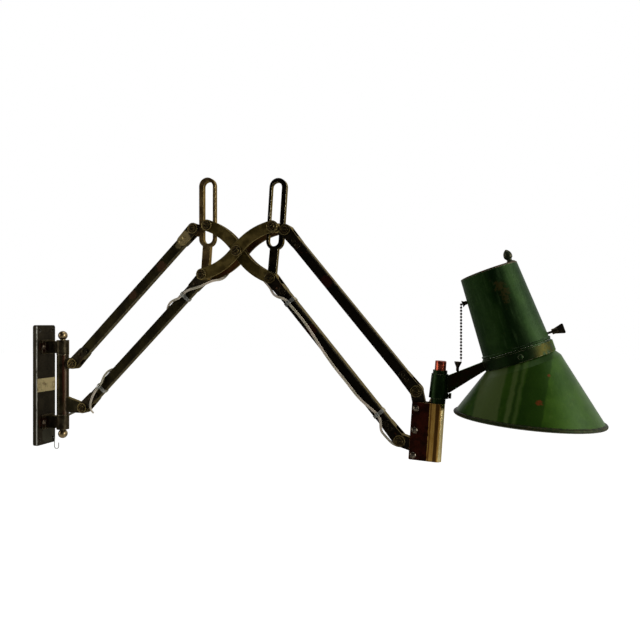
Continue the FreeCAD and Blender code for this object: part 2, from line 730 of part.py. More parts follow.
def falling_plates():
    """Two close-set S-plates, from the left link's slot to the right link's foot."""
    return in_frame(both_sides(lambda a, b: s_plate(1, a, b), LEFT_HALF, FALLING_HALF), FALLING)


def rising_slide_pin():
    """The pin that slides in the right link's slot, with its slider and spacers."""
    solids = pivot_hardware(RISING, SCISSOR_R, 0, RISING_HALF, 0)
    slider = sleeve(SCISSOR_R, 0, SLOT_W / 2 - SIDE_GAP, -LUG_T / 2, LUG_T / 2)
    spacers = both_sides(lambda a, b: sleeve(SCISSOR_R, 0, SLEEVE_R, a, b), LUG_T / 2, RISING_GAP / 2)
    return solids + in_frame([slider, *spacers], RISING)


def falling_slide_pin():
    """The pin that slides in the left link's slot, with its slider."""
    solids = pivot_hardware(FALLING, -SCISSOR_R, 0, FALLING_HALF, 0)
    return solids + in_frame([sleeve(-SCISSOR_R, 0, SLIDER_LEFT_R, -LEFT_HALF, LEFT_HALF)], FALLING)


def centre_bolt():
    """The bolt that the scissor turns on, with spacers between the two pairs of plates."""
    solids = pivot_hardware(RISING, 0, 0, RISING_HALF, 0)
    inner = FALLING_HALF + SIDE_GAP
    spacers = both_sides(lambda a, b: sleeve(0, 0, SLEEVE_R, a, b), inner, RISING_GAP / 2)
    return solids + in_frame(spacers, RISING)


def falling_spacer():
    """The tube that keeps the close-set plates apart at the centre bolt."""
    return placed(sleeve(0, 0, SLEEVE_R, -LEFT_HALF, LEFT_HALF), FALLING)


# ---------------------------------------------------------------- post bracket
def bracket_casting():
    """The casting between the strap's legs, with a lug for each right bar."""
    half = RIGHT_LUG_T / 2
    edge = STRAP_EDGE_X + STRAP_T
    tang = block(edge, POST_X, -POST_R, POST_R, STRAP_LOW + STRAP_T, STRAP_HIGH - STRAP_T)
    tang = tang.cut(rod_z(POST_X, 0, POST_R + RUN, STRAP_LOW - 1, STRAP_HIGH + 1))
    lower = hull((0, 0), EYE_R, (edge + EYE_R, STRAP_LOW / 4), EYE_R, -half, half)
    upper = hull((LUG_X, LUG_Z), EYE_R, (LUG_X + EYE_R, STRAP_HIGH - 2 * EYE_R), EYE_R, -half, half)
    body = fused(tang, lower, upper)
    holes = [rod_y(x, z, PIN_R + RUN, -2 * half, 2 * half) for x, z in ((0, 0), (LUG_X, LUG_Z))]
    holes += [rod_y(STRAP_SCREW_X, z, STRAP_SCREW_R, -2 * half, 2 * half) for z in STRAP_SCREW_Z]
    return placed(body.cut(Part.makeCompound(holes)), BRACKET)


def post_strap():
    """A sheet strap bent round the post, with two flat legs on the casting."""
    outer_r = POST_R + STRAP_T
    legs = block(STRAP_EDGE_X, POST_X, -outer_r, outer_r, STRAP_LOW, STRAP_HIGH)
    legs = rounded_edges(legs, STRAP_T, lambda e: along_y(e) and e.BoundBox.XMax < POST_X - 1)
    bend = rod_z(POST_X, 0, outer_r, STRAP_LOW, STRAP_HIGH)
    inside = fused(block(0, POST_X, -POST_R, POST_R, STRAP_LOW - 1, STRAP_HIGH + 1),
                   rod_z(POST_X, 0, POST_R, STRAP_LOW - 1, STRAP_HIGH + 1))
    holes = [rod_y(STRAP_SCREW_X, z, STRAP_SCREW_R, -2 * outer_r, 2 * outer_r) for z in STRAP_SCREW_Z]
    return placed(fused(legs, bend).cut(inside).cut(Part.makeCompound(holes)), BRACKET)


def along_y(edge):
    """Whether edge is straight and runs along Y."""
    if len(edge.Vertexes) != 2:
        return False
    a, b = (v.Point for v in edge.Vertexes)
    return hypot(a.x - b.x, a.z - b.z) < 1e-6


def strap_screws():
    """Slotted screws through the strap and the casting, with a rounded foot on the back."""
    face = POST_R + STRAP_T
    solids = []
    for z in STRAP_SCREW_Z:
        cap = dome(V(STRAP_SCREW_X, -face, z), V(0, -1, 0), STRAP_SCREW_HEAD_R, STRAP_SCREW_HEAD_H)
        shank = rod_y(STRAP_SCREW_X, z, STRAP_SCREW_R, -face, face)
        slot = block(STRAP_SCREW_X - STRAP_SCREW_HEAD_R, STRAP_SCREW_X + STRAP_SCREW_HEAD_R,
                     -face - STRAP_SCREW_HEAD_H - 1, -face - STRAP_SCREW_HEAD_H / 2,
                     z - HEAD_SLOT_W / 2, z + HEAD_SLOT_W / 2)
        foot = dome(V(STRAP_SCREW_X, face, z), V(0, 1, 0), STRAP_SCREW_HEAD_R, STRAP_SCREW_HEAD_H)
        solids.append(fused(cap, shank, foot).cut(slot))
    return in_frame(solids, BRACKET)


def post():
    """The rod that the strap grips and the lamp arm's collar turns on."""
    rod = rod_z(POST_X, 0, POST_R, STRAP_LOW, POST_TOP)
    rod = rounded_edges(rod, POST_EDGE, lambda e: e.BoundBox.ZMin > POST_TOP - 1e-6)
    return placed(rod, BRACKET)


def bracket_bolts():
    return [s for x, z in ((0, 0), (LUG_X, LUG_Z))
            for s in pivot_hardware(BRACKET, x, z, RIGHT_STACK, SIDE_GAP)]


# ---------------------------------------------------------------- lamp arm
def husk_in_head(shape):
    """shape, drawn in the husk's frame, moved into the head's frame."""
    return placed(shape, (HUSK_X, HUSK_Z, HUSK_LEAN))


def arm_tip():
    """Where the arm meets the ring, in the head's frame."""
    x, z = turned(-RING_R, RING_LOW + RING_H / 2, HUSK_LEAN)
    return HUSK_X + x, HUSK_Z + z


def lamp_arm():
    """Collar, arm and ring, one casting. The post runs through the collar."""
    body_low = COLLAR_LOW + COLLAR_NECK_LOW_H
    body_high = COLLAR_HIGH - COLLAR_NECK_HIGH_H
    body = Part.makeCone(COLLAR_R, COLLAR_TOP_R, body_high - body_low, V(0, 0, body_low))
    neck = rod_z(0, 0, COLLAR_NECK_R, COLLAR_LOW, COLLAR_HIGH)
    arm = hull(ARM_ROOT, ARM_ROOT_R, arm_tip(), ARM_TIP_R, -ARM_T / 2, ARM_T / 2)
    ring = husk_in_head(rod_z(0, 0, RING_R, RING_LOW, RING_LOW + RING_H))
    inside = husk_in_head(rod_z(0, 0, RING_R - RING_T, RING_LOW - RING_H, RING_LOW + 2 * RING_H))
    bore = rod_z(0, 0, POST_R + RUN, COLLAR_LOW - 1, COLLAR_HIGH + 1)
    screw = rod_x(0, COLLAR_SCREW_Z, FOOT_SCREW_R, 0, COLLAR_R + 1)
    anchor_x, anchor_z = anchor_foot()
    stem_hole = rod_z(anchor_x, 0, ANCHOR_STEM_R / 2, anchor_z - ANCHOR_H / 2, anchor_z + ANCHOR_H)
    holes = [inside, bore, screw, stem_hole]
    holes += [husk_in_head(h) for h in ring_screw_rods(RING_SCREW_R, RING_R - 2 * RING_T, RING_R + 1)]
    return placed(fused(body, neck, arm, ring).cut(Part.makeCompound(holes)), HEAD)


def arm_edge():
    """The slope of the arm's upper edge and its height at x = 0, in the head's frame."""
    tip = arm_tip()
    run, rise = tip[0] - ARM_ROOT[0], tip[1] - ARM_ROOT[1]
    edge = atan2(rise, run) + acos((ARM_ROOT_R - ARM_TIP_R) / hypot(run, rise))
    start = (ARM_ROOT[0] + ARM_ROOT_R * cos(edge), ARM_ROOT[1] + ARM_ROOT_R * sin(edge))
    end = (tip[0] + ARM_TIP_R * cos(edge), tip[1] + ARM_TIP_R * sin(edge))
    slope = (end[1] - start[1]) / (end[0] - start[0])
    return slope, start[1] - slope * start[0]


def anchor_foot():
    """The foot of the chain's anchor, on the arm's upper edge."""
    x = CHAIN_FOOT_X - ANCHOR_HEAD_R + ANCHOR_STEM_R / 2
    slope, height = arm_edge()
    return x, height + slope * (x + ANCHOR_STEM_R) + RUN


def ring_screw_rods(r, r0, r1):
    """Radial rods through the ring, in the husk's frame, a third of a turn apart."""
    middle = RING_LOW + RING_H / 2
    rods = []
    for turn in (-90, 30, 150):
        along = V(cos(radians(turn)), sin(radians(turn)), 0)
        rods.append(Part.makeCylinder(r, r1 - r0, V(0, 0, middle) + along * r0, along))
    return rods


def head_screws():
    """The collar's square-headed set screw, the ring's screws and the lid's screw."""
    tip = POST_R + SIDE_GAP
    head_start = COLLAR_R + SIDE_GAP
    shank = rod_x(0, COLLAR_SCREW_Z, FOOT_SCREW_R, tip, head_start)
    side = FOOT_SCREW_HEAD_R
    head = block(head_start, head_start + side, -side, side, COLLAR_SCREW_Z - side, COLLAR_SCREW_Z + side)
    solids = [fused(shank, head)]
    middle = RING_LOW + RING_H / 2
    rods = ring_screw_rods(RING_SCREW_R, RING_R - RING_T, RING_R)
    for rod, turn in zip(rods, (-90, 30, 150)):
        along = V(cos(radians(turn)), sin(radians(turn)), 0)
        cap = dome(V(0, 0, middle) + along * RING_R, along, RING_SCREW_HEAD_R, RING_SCREW_HEAD_H)
        solids.append(husk_in_head(fused(rod, cap)))
    lid_top = HUSK_H + LID_T
    cap = dome(V(LID_SCREW_X, 0, lid_top), V(0, 0, 1), RING_SCREW_HEAD_R, RING_SCREW_HEAD_H)
    solids.append(husk_in_head(fused(cap, rod_z(LID_SCREW_X, 0, RING_SCREW_R, HUSK_H, lid_top))))
    return in_frame(solids, HEAD)


# ---------------------------------------------------------------- husk and lid
def husk_radius(z):
    return HUSK_BASE_R + (HUSK_TOP_R - HUSK_BASE_R) * z / HUSK_H


def husk():
    """The tapered can over the lamp holder, with a bead round its foot."""
    outer = Part.makeCone(HUSK_BASE_R, HUSK_TOP_R, HUSK_H)
    bead = Part.makeTorus(HUSK_BASE_R, HUSK_BEAD_R, V(0, 0, HUSK_BEAD_R))
    inner = Part.makeCone(HUSK_BASE_R - HUSK_T, HUSK_TOP_R - HUSK_T, HUSK_H)
    holes = [
        rod_x(0, KEY_Z, KEY_STEM_R + RUN, HUSK_TOP_R - HUSK_T, HUSK_BASE_R + 2 * HUSK_BEAD_R),
        rod_y(0, GLAND_Z, GLAND_R - 2 * CLIP_T, HUSK_TOP_R - HUSK_T, HUSK_BASE_R + 1),
        guide_rod(GUIDE_R - CLIP_T, -2 * HUSK_T, 2 * HUSK_T),
    ]
    shell = fused(outer, bead).cut(inner)
    return placed(shell.cut(Part.makeCompound(holes)), HUSK)


def chain_guide_height():
    """Height of the chain guide up the husk's axis, level with the top of the chain."""
    return turned(CHAIN_TOP[0] - HUSK_X, CHAIN_TOP[1] + GUIDE_R - HUSK_Z, -HUSK_LEAN)[1]


def guide_rod(r, start, end, r_end=None):
    """A rod or cone out through the husk's left side, between two distances from its surface."""
    z = chain_guide_height()
    x = -husk_radius(z)
    place, along = V(x - start, 0, z), V(-1, 0, 0)
    if r_end is None:
        return Part.makeCylinder(r, end - start, place, along)
    return Part.makeCone(r, r_end, end - start, place, along)


def husk_lid():
    """The flat lid with a lip inside the husk."""
    top = rod_z(0, 0, HUSK_TOP_R, HUSK_H, HUSK_H + LID_T)
    top = rounded_edges(top, LID_T / 2, lambda e: e.BoundBox.ZMin > HUSK_H + LID_T - 1e-6)
    lip_r = HUSK_TOP_R - HUSK_T - SIDE_GAP
    lip = rod_z(0, 0, lip_r, HUSK_H - 3 * LID_T, HUSK_H).cut(
        rod_z(0, 0, lip_r - LID_LAP, HUSK_H - 4 * LID_T, HUSK_H))
    holes = [rod_z(LID_SCREW_X, 0, RING_SCREW_R, HUSK_H - 1, HUSK_H + 2 * LID_T),
             rod_z(FINIAL_X, 0, RING_SCREW_R, HUSK_H - 1, HUSK_H + 2 * LID_T)]
    return placed(fused(top, lip).cut(Part.makeCompound(holes)), HUSK)


def lid_finial():
    """An acorn nut off the lid's centre."""
    foot = HUSK_H + LID_T
    waist = FINIAL_R * 0.62
    cup = FINIAL_H * 0.40
    acorn = revolved([
        (0, 0), (FINIAL_FLANGE_R, 0), (FINIAL_FLANGE_R, FINIAL_H * 0.08),
        (waist, FINIAL_H * 0.18), (waist, FINIAL_H * 0.28), (FINIAL_R, cup),
        (FINIAL_R * 0.88, FINIAL_H * 0.76, FINIAL_TIP_R, FINIAL_H), (0, FINIAL_H),
    ])
    acorn.translate(V(FINIAL_X, 0, foot))
    stud = rod_z(FINIAL_X, 0, RING_SCREW_R, HUSK_H - LID_T, foot)
    return placed(fused(acorn, stud), HUSK)


# ---------------------------------------------------------------- shade
def circle_wire(r, frame):
    """A level circle of frame, as a wire."""
    edge = Part.Circle(V(0, 0, 0), V(0, 0, 1), r).toShape()
    return Part.Wire(placed(edge, frame).Edges)


def shade_body(shrink, reach):
    """The solid cone of the shade; shrink draws it in, and reach carries it past its ends."""
    steep = (MOUTH_R - NECK_R) / (HUSK_Z + RING_LOW - MOUTH_Z)
    mouth = circle_wire(MOUTH_R - shrink + reach * steep, frame_at(SHADE, 0, -reach, 0))
    shoulder = circle_wire(SHOULDER_R - shrink,
                           frame_at(HUSK, SHOULDER_SHIFT, RING_LOW - SHOULDER_DROP, 0))
    neck = circle_wire(NECK_R - shrink, frame_at(HUSK, 0, RING_LOW, 0))
    cone = Part.makeLoft([mouth, shoulder, neck], True, True)
    collar = placed(rod_z(0, 0, NECK_R - shrink, RING_LOW - shrink, NECK_TOP + reach), HUSK)
    return cone.fuse(collar)


def shade():
    """Enamelled cone with a tilted neck under the ring and a rolled bead at its mouth."""
    shell = shade_body(0, 0).cut(shade_body(SHADE_T, SHADE_T))
    bead = placed(Part.makeTorus(MOUTH_R - SHADE_T / 2, BEAD_R, V(0, 0, 0)), SHADE)
    return fused(shell, bead)


# ---------------------------------------------------------------- lamp holder, bulb and key
def holder_plate():
    """The disc that carries the lamp holder inside the husk."""
    z = HOLDER_LOW + HOLDER_H
    disc = rod_z(0, 0, husk_radius(z + PLATE_DISC_T) - HUSK_T - RUN, z, z + PLATE_DISC_T)
    return placed(disc.cut(rod_z(0, 0, CORD_R * 2, z - 1, z + 2 * PLATE_DISC_T)), HUSK)


def lamp_holder():
    """The switched holder, with its bore for the bulb's cap and one for the key."""
    top = HOLDER_LOW + HOLDER_H
    body = rod_z(0, 0, HOLDER_R, HOLDER_LOW, top)
    body = rounded_edges(body, PLATE_DISC_T, lambda e: e.BoundBox.ZMin > top - 1e-6)
    bore = rod_z(0, 0, HOLDER_BORE_R, HOLDER_LOW - 1, HOLDER_LOW + HOLDER_BORE_H)
    key_bore = rod_x(0, KEY_Z, KEY_STEM_R + RUN, HOLDER_BORE_R + 1, HOLDER_R + 1)
    return placed(body.cut(bore).cut(key_bore), HUSK)


def bulb_cap():
    """The screw cap with its contact."""
    cap = rod_z(0, 0, BULB_CAP_R, BULB_CAP_LOW, BULB_CAP_TOP)
    contact_top = HOLDER_LOW + HOLDER_BORE_H
    tip = Part.makeCone(BULB_CAP_R * 0.75, BULB_CAP_R * 0.35, contact_top - BULB_CAP_TOP,
                        V(0, 0, BULB_CAP_TOP))
    inner = rod_z(0, 0, BULB_CAP_R - GLASS_T, BULB_CAP_LOW - 1, BULB_CAP_TOP - GLASS_T)
    return placed(fused(cap, tip).cut(inner), HUSK)


def bulb_glass():
    """A hollow globe whose neck stands in the cap."""
    def globe(ball_r, neck_r, top):
        join = BULB_CENTRE + (ball_r ** 2 - (ball_r * 0.72) ** 2) ** 0.5
        return revolved([
            (0, BULB_CENTRE - ball_r),
            (ball_r, BULB_CENTRE, ball_r * 0.72, join),
            (neck_r, BULB_CAP_LOW - 2),
            (neck_r, top),
            (0, top),
        ])
    neck_r = BULB_CAP_R - GLASS_T - RUN
    solid = globe(BULB_R, min(BULB_NECK_R, neck_r), BULB_CAP_TOP - 2 * GLASS_T)
    hollow = globe(BULB_R - GLASS_T, min(BULB_NECK_R, neck_r) - GLASS_T, BULB_CAP_TOP - 3 * GLASS_T)
    return placed(solid.cut(hollow), HUSK)


def turn_key():
    """The switch key: a thin stem, a grooved barrel and a fan-shaped paddle."""
    stem = rod_x(0, KEY_Z, KEY_STEM_R, HOLDER_BORE_R + 2, KEY_BARREL_START)
    barrel_end = KEY_BARREL_START + KEY_BARREL_L
    barrel = rod_x(0, KEY_Z, KEY_BARREL_R, KEY_BARREL_START, barrel_end)
    end = barrel_end + KEY_PADDLE_L
    narrow, wide = KEY_BARREL_R, KEY_PADDLE_W / 2
    outline = [(barrel_end - KEY_BARREL_L / 2, -narrow), (end, -wide), (end, wide),
               (barrel_end - KEY_BARREL_L / 2, narrow)]
    corners = [V(x, -KEY_PADDLE_T / 2, KEY_Z + z) for x, z in outline]
    paddle = Part.Face(Part.makePolygon(corners + corners[:1])).extrude(V(0, KEY_PADDLE_T, 0))
    paddle = rounded_edges(paddle, KEY_PADDLE_T / 2 - RUN,
                           lambda e: along_y(e) and e.BoundBox.XMin > barrel_end)
    return placed(fused(stem, barrel, paddle), HUSK)


# ---------------------------------------------------------------- pull chain
def chain_guide():
    """The flared ferrule that the chain leaves the husk by."""
    body = fused(guide_rod(GUIDE_R, SIDE_GAP, GUIDE_L / 2),
                 guide_rod(GUIDE_R, GUIDE_L / 2, GUIDE_L, GUIDE_MOUTH_R),
                 guide_rod(GUIDE_R - CLIP_T, -HUSK_T, SIDE_GAP))
    bore = guide_rod(GUIDE_R - 1.5 * CLIP_T, GUIDE_L / 2, GUIDE_L + CLIP_T, GUIDE_MOUTH_R - CLIP_T / 2)
    return placed(body.cut(bore), HUSK)


def chain_top():
    """Where the chain hangs from, just outside the guide's mouth, in the head's frame."""
    z = chain_guide_height()
    out = husk_radius(z) + GUIDE_L + RUN + BEAD_SIZE / 2
    x, z = turned(-out, z, HUSK_LEAN)
    return V(HUSK_X + x, 0, HUSK_Z + z)


def bead_chain():
    """Small balls on a wire, from the guide's mouth to the anchor."""
    top, foot = chain_top(), V(CHAIN_FOOT_X, 0, anchor_foot()[1] + ANCHOR_H)
    along = (foot - top).normalize()
    length = top.distanceToPoint(foot)
    count = int((length - BEAD_SIZE / 2) / BEAD_PITCH)
    solids = [Part.makeCylinder(BEAD_WIRE_R, length, top, along)]
    for k in range(count + 1):
        solids.append(Part.makeSphere(BEAD_SIZE / 2, top + along * k * BEAD_PITCH))
    stub = Part.makeCylinder(BEAD_WIRE_R, GUIDE_L / 2 + RUN + BEAD_SIZE / 2, V(0, 0, 0), V(1, 0, 0))
    solids.append(placed(stub, (top.x, top.z, HUSK_LEAN)))
    return placed(fused(*solids), HEAD)


def chain_anchor():
    """The flared knob on the arm's upper edge that holds the chain's foot."""
    x, z = anchor_foot()
    head_h = ANCHOR_H * 0.62
    knob = revolved([
        (0, 0), (ANCHOR_STEM_R, 0), (ANCHOR_STEM_R, ANCHOR_H - head_h),
        (ANCHOR_HEAD_R, ANCHOR_H - 1), (ANCHOR_HEAD_R, ANCHOR_H), (0, ANCHOR_H),
    ])
    stud = rod_z(0, 0, ANCHOR_STEM_R / 2 - RUN, -ANCHOR_H / 3, 0)
    return placed(placed(fused(knob, stud), (x, z, 0)), HEAD)


# ---------------------------------------------------------------- cord
def cord_gland():
    """The bush in the back of the husk, where the cord goes in."""
    r_husk = husk_radius(GLAND_Z)
    bush = fused(rod_y(0, GLAND_Z, GLAND_R, r_husk + SIDE_GAP, r_husk + 2 * GROMMET_SHOW),
                 rod_y(0, GLAND_Z, GLAND_R - 2 * CLIP_T, r_husk - HUSK_T, r_husk + SIDE_GAP))
    return placed(bush.cut(rod_y(0, GLAND_Z, CORD_R + RUN, 0, HUSK_BASE_R + GLAND_R)), HUSK)


def clip_eye(half):
    """How far in front of the middle a clip's eye holds the cord."""
    return -half - CLIP_T - CORD_R - RUN


def cord_routes():
    """The points of each stretch of the cord; each stretch starts where the last one ends."""
    left, right = clip_eye(LEFT_HALF), clip_eye(RIGHT_HALF)

    def world(frame, *points):
        return [tuple(point_in(frame, *p)) for p in points]

    def at_clip(frame, x, y, z):
        """The places just before, in and just beyond a clip, in line with its bar."""
        return world(frame, (x - CLIP_LEAD, y, z), (x, y, z), (x + CLIP_LEAD, y, z))

    before_a, clip_a, after_a = at_clip(LOWER_LEFT, CLIP_A, left, CLIP_LEFT_Z)
    before_b, clip_b, after_b = at_clip(LOWER_LEFT, CLIP_B, left, CLIP_LEFT_Z)
    before_c, clip_c, after_c = at_clip(LOWER_RIGHT, CLIP_C, right, CLIP_RIGHT_Z)
    before_d, clip_d, after_d = at_clip(LOWER_RIGHT, CLIP_D, right, CLIP_RIGHT_Z)
    elbow_end, middle, knee_start = world(
        RISING, (-22.0, 17.6, -4.0), (-12.0, 18.2, -7.0), (-2.0, 18.8, -10.0))
    post_end, collar, head_start = world(HEAD, (13.0, 13.2, 83.2), (21.0, 10.4, 87.4), (29.0, 7.6, 91.6))
    gland = HUSK_BASE_R - HUSK_T / 2
    return {
        "cord_wall": [
            (PLATE_D, GROMMET_Y, GROMMET_Z), (20.0, GROMMET_Y, GROMMET_Z), (40.0, 16.5, -50.0),
            (60.0, 17.0, -45.0), (78.0, 14.5, -47.5), (90.0, 4.0, -50.0), (96.0, -7.0, -44.0),
            *world(LOWER_LEFT, (17.0, -11.8, -6.0), (28.0, -11.2, 0.0)), before_a, clip_a,
        ],
        "cord_lower_left": [clip_a, after_a] + world(
            LOWER_LEFT, (62.0, -6.9, 8.7), (73.0, -0.6, 11.7), (84.0, 0.0, 4.8), (99.0, 0.2, 1.0),
            (122.0, 0.0, 1.2), (154.0, 0.2, 0.2), (186.0, -0.2, 1.0), (205.0, 0.0, 4.4),
            (216.0, -0.6, 11.7), (227.5, -6.9, 9.0)) + [before_b, clip_b],
        "cord_elbow": [clip_b, after_b] + world(
            LEFT_END, (-28.5, -11.4, 0.5), (-18.0, -11.8, -9.5), (-8.5, -9.0, -17.0))
            + world(RISING, (-58.0, 0.0, -18.0), (-47.0, 11.0, -20.0), (-36.0, 17.6, -11.0))
            + [elbow_end, middle],
        "cord_knee": [middle, knee_start] + world(RISING, (5.4, 20.5, -16.0))
            + world(FALLING, (28.2, 18.5, -2.6), (43.0, 11.5, -11.0))
            + world(LOWER_RIGHT, (2.0, 5.0, -17.5), (14.0, -6.0, -17.5), (27.0, -14.8, -6.0))
            + [before_c, clip_c],
        "cord_bow": [clip_c, after_c] + world(
            LOWER_RIGHT, (64.0, -11.4, -0.4), (82.0, -12.8, 0.2), (104.0, -13.2, -1.6),
            (132.0, -13.5, -5.0), (160.0, -13.2, -6.6), (186.0, -12.8, -6.2), (208.0, -12.4, -7.0),
            (226.0, -11.2, -4.8)) + [before_d, clip_d],
        "cord_post": [clip_d, after_d] + world(
            RIGHT_END, (-28.5, -14.4, -4.6), (-19.5, -12.5, -13.5), (-13.5, 0.0, -20.0))
            + world(BRACKET, (-10.0, 14.0, -12.0), (5.0, 20.5, -13.0), (20.0, 21.0, 8.0), (29.0, 20.0, 36.0))
            + world(HEAD, (-9.0, 20.0, 62.0), (2.0, 18.5, 76.0)) + [post_end, collar],
        "cord_head": [collar, head_start] + world(
            HEAD, (43.0, 10.0, 98.0), (54.0, 25.0, 108.0), (57.0, 41.0, 120.0), (60.0, 53.0, 133.0))
            + world(HUSK, (-24.0, 60.5, 16.0), (-10.0, 64.0, 21.5), (0.0, 56.0, GLAND_Z), (0.0, gland, GLAND_Z)),
    }


# ---------------------------------------------------------------- the whole part
def nodes():
    upper, lower = bracket_centres()
    clips_left = [cord_clip(x, CLIP_LEFT_Z, LEFT_HALF) for x in (CLIP_A, CLIP_B)]
    clips_right = [cord_clip(x, CLIP_RIGHT_Z, RIGHT_HALF) for x in (CLIP_C, CLIP_D)]
    made = {
        "wall_plate": wall_plate(),
        "name_plate": name_plate(),
        "name_plate_pins": name_plate_pins(),
        "upper_hinge_bracket": hinge_bracket(upper),
        "lower_hinge_bracket": hinge_bracket(lower),
        "bracket_screws": bracket_screws(),
        "hinge_pin": hinge_pin(),
        "pin_ball_nut": pin_ball_nut(),
        "hinge_washers": hinge_washers(),
        "cord_hook": cord_hook(),
        "wall_grommet": wall_grommet(),
        "swivel": swivel(),
        "swivel_bolts": swivel_bolts(),
        "lower_left_bar": placed(channel_bar(LEFT_HALF, -1), LOWER_LEFT),
        "lower_left_forks": in_frame(fork(LEFT_HALF), LOWER_LEFT),
        "lower_left_clips": in_frame(clips_left, LOWER_LEFT),
        "upper_left_bar": placed(channel_bar(LEFT_HALF, -1), UPPER_LEFT),
        "upper_left_forks": in_frame(fork(LEFT_HALF), UPPER_LEFT),
        "left_link": placed(left_link(), LEFT_LINK),
        "left_link_bolts": left_link_bolts(),
        "rising_bar_plates": rising_plates(),
        "rising_slide_pin": rising_slide_pin(),
        "centre_bolt": centre_bolt(),
        "falling_bar_plates": falling_plates(),
        "falling_bar_spacer": falling_spacer(),
        "falling_slide_pin": falling_slide_pin(),
        "right_link": placed(right_link(), RIGHT_LINK),
        "right_link_bolts": right_link_bolts(),
        "lower_right_bar": placed(channel_bar(RIGHT_HALF, 1), LOWER_RIGHT),
        "lower_right_forks": in_frame(fork(RIGHT_HALF), LOWER_RIGHT),
        "lower_right_clips": in_frame(clips_right, LOWER_RIGHT),
        "upper_right_bar": placed(channel_bar(RIGHT_HALF, 1), UPPER_RIGHT),
        "upper_right_forks": in_frame(fork(RIGHT_HALF), UPPER_RIGHT),
        "bracket_casting": bracket_casting(),
        "bracket_bolts": bracket_bolts(),
        "post_strap": post_strap(),
        "strap_screws": strap_screws(),
        "post": post(),
        "lamp_arm": lamp_arm(),
        "head_screws": head_screws(),
        "husk": husk(),
        "husk_lid": husk_lid(),
        "lid_finial": lid_finial(),
        "shade": shade(),
        "holder_plate": holder_plate(),
        "lamp_holder": lamp_holder(),
        "bulb_cap": bulb_cap(),
        "bulb_glass": bulb_glass(),
        "turn_key": turn_key(),
        "chain_guide": chain_guide(),
        "bead_chain": bead_chain(),
        "chain_anchor": chain_anchor(),
        "cord_gland": cord_gland(),
    }
    for name, route in cord_routes().items():
        made[name] = cord_tube(name, route)
    return made


def write():
    os.makedirs("parts", exist_ok=True)
    for name, shape in nodes().items():
        solids = shape if isinstance(shape, list) else shape.Solids
        whole = solids[0] if len(solids) == 1 else Part.makeCompound(solids)
        if not whole.isValid():
            print("not valid:", name)
        whole.exportStep(f"parts/{name}.step")


write()
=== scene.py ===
"""An old scissor-armed wall lamp with a green enamelled shade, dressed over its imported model.

Lengths are written in millimetres and turned into metres where Blender needs them.
"""

import json
from math import atan2, cos, pi, radians, sin

import bpy
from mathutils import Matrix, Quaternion, Vector

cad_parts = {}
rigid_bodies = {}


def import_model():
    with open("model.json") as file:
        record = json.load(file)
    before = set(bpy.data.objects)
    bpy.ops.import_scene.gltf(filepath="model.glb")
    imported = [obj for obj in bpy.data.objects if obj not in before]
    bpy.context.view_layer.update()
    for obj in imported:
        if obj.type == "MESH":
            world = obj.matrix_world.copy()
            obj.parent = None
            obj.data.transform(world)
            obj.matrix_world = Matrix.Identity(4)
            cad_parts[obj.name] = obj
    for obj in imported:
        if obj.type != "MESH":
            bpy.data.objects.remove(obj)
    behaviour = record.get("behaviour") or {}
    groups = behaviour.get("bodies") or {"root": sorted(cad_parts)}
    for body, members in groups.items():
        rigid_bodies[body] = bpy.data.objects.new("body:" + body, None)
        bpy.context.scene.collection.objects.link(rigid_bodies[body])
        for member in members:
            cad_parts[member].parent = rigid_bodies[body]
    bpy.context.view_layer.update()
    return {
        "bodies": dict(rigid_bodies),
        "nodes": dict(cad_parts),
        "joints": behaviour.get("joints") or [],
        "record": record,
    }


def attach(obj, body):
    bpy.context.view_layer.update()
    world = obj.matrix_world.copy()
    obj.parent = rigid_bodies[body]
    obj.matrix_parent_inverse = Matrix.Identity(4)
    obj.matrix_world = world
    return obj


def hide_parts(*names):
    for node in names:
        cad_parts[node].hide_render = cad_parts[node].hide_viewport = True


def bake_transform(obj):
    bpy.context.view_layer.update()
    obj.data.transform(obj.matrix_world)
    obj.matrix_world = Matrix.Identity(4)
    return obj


MM = 0.001

# places and leans of the hinge, the arm's pins and the head, as in the model
HINGE_X = 38.0
LOWER_PIN = (78.2, -34.2)
LUG = (18.0, 69.0)
BAR_L = 290.8
LEFT_RISE = 44.6
RIGHT_FALL = 50.4
SCISSOR_R = 63.7
SCISSOR_ANGLE = 34.9
SAG = 3.8
POST_X = 47.3
HUSK_PLACE = (95.0, 135.7)
HUSK_LEAN = 22.65
MOUTH = (115.9, 47.4)

# flexible cord: two insulated wires side by side; WIRE_ARC is how far round a wire its outline
# goes, to either side of its outermost point
CORD_WIDTH = 3.6
WIRE_ARC = 0.78 * pi
WIRE_HEIGHT = 1.12
WIRE_POINTS = 9
CORD_SMOOTHNESS = 10

# the eyes of its clips: how far along a bar, beside it and above its middle line
CLIP_NEAR = 45.0
CLIP_FAR = BAR_L - 45.5
CLIP_EYE_LEFT = -6.65
CLIP_EYE_RIGHT = -10.15
CLIP_LEFT_Z = 3.5
CLIP_RIGHT_Z = -1.5
CLIP_LEAD = 6.5

# where the cord goes into the husk
HUSK_WALL_MIDDLE = 42.75
GLAND_Z = 24.0

# directions across the barrel and the husk, along which the places of the barrel's red line and painted
# highlight line, and of the husk's painted band of shade, are given
BARREL_ACROSS = (0.776, 0.63, 0.0)
HUSK_ACROSS = (0.89, 0.46, 0.0)
# how far a painted reflection streak on the shade leans sideways for each millimetre of height
PAINTED_STREAK_LEAN = 0.1655

# radii of the painted highlight on a pin's rim, and of the painted shade in its groove and recess
PIN_HIGHLIGHT_RIM = (6.7, 8.2)
PIN_SHADED_GROOVE = (4.6, 5.9)
PIN_SHADED_RECESS = (3.4, 2.4)

# edges that turn by more than this many degrees stay sharp
SHARP_ANGLE = 32.0

# the photograph's camera
CAMERA_PLACE = (685.0, -844.0, 97.0)
CAMERA_TURN = 14.85
FOCAL_PIXELS = 617.0
PHOTO_PIXELS = 640.0
SENSOR_WIDTH = 36.0
OPTICAL_CENTRE_DROP = 4.0

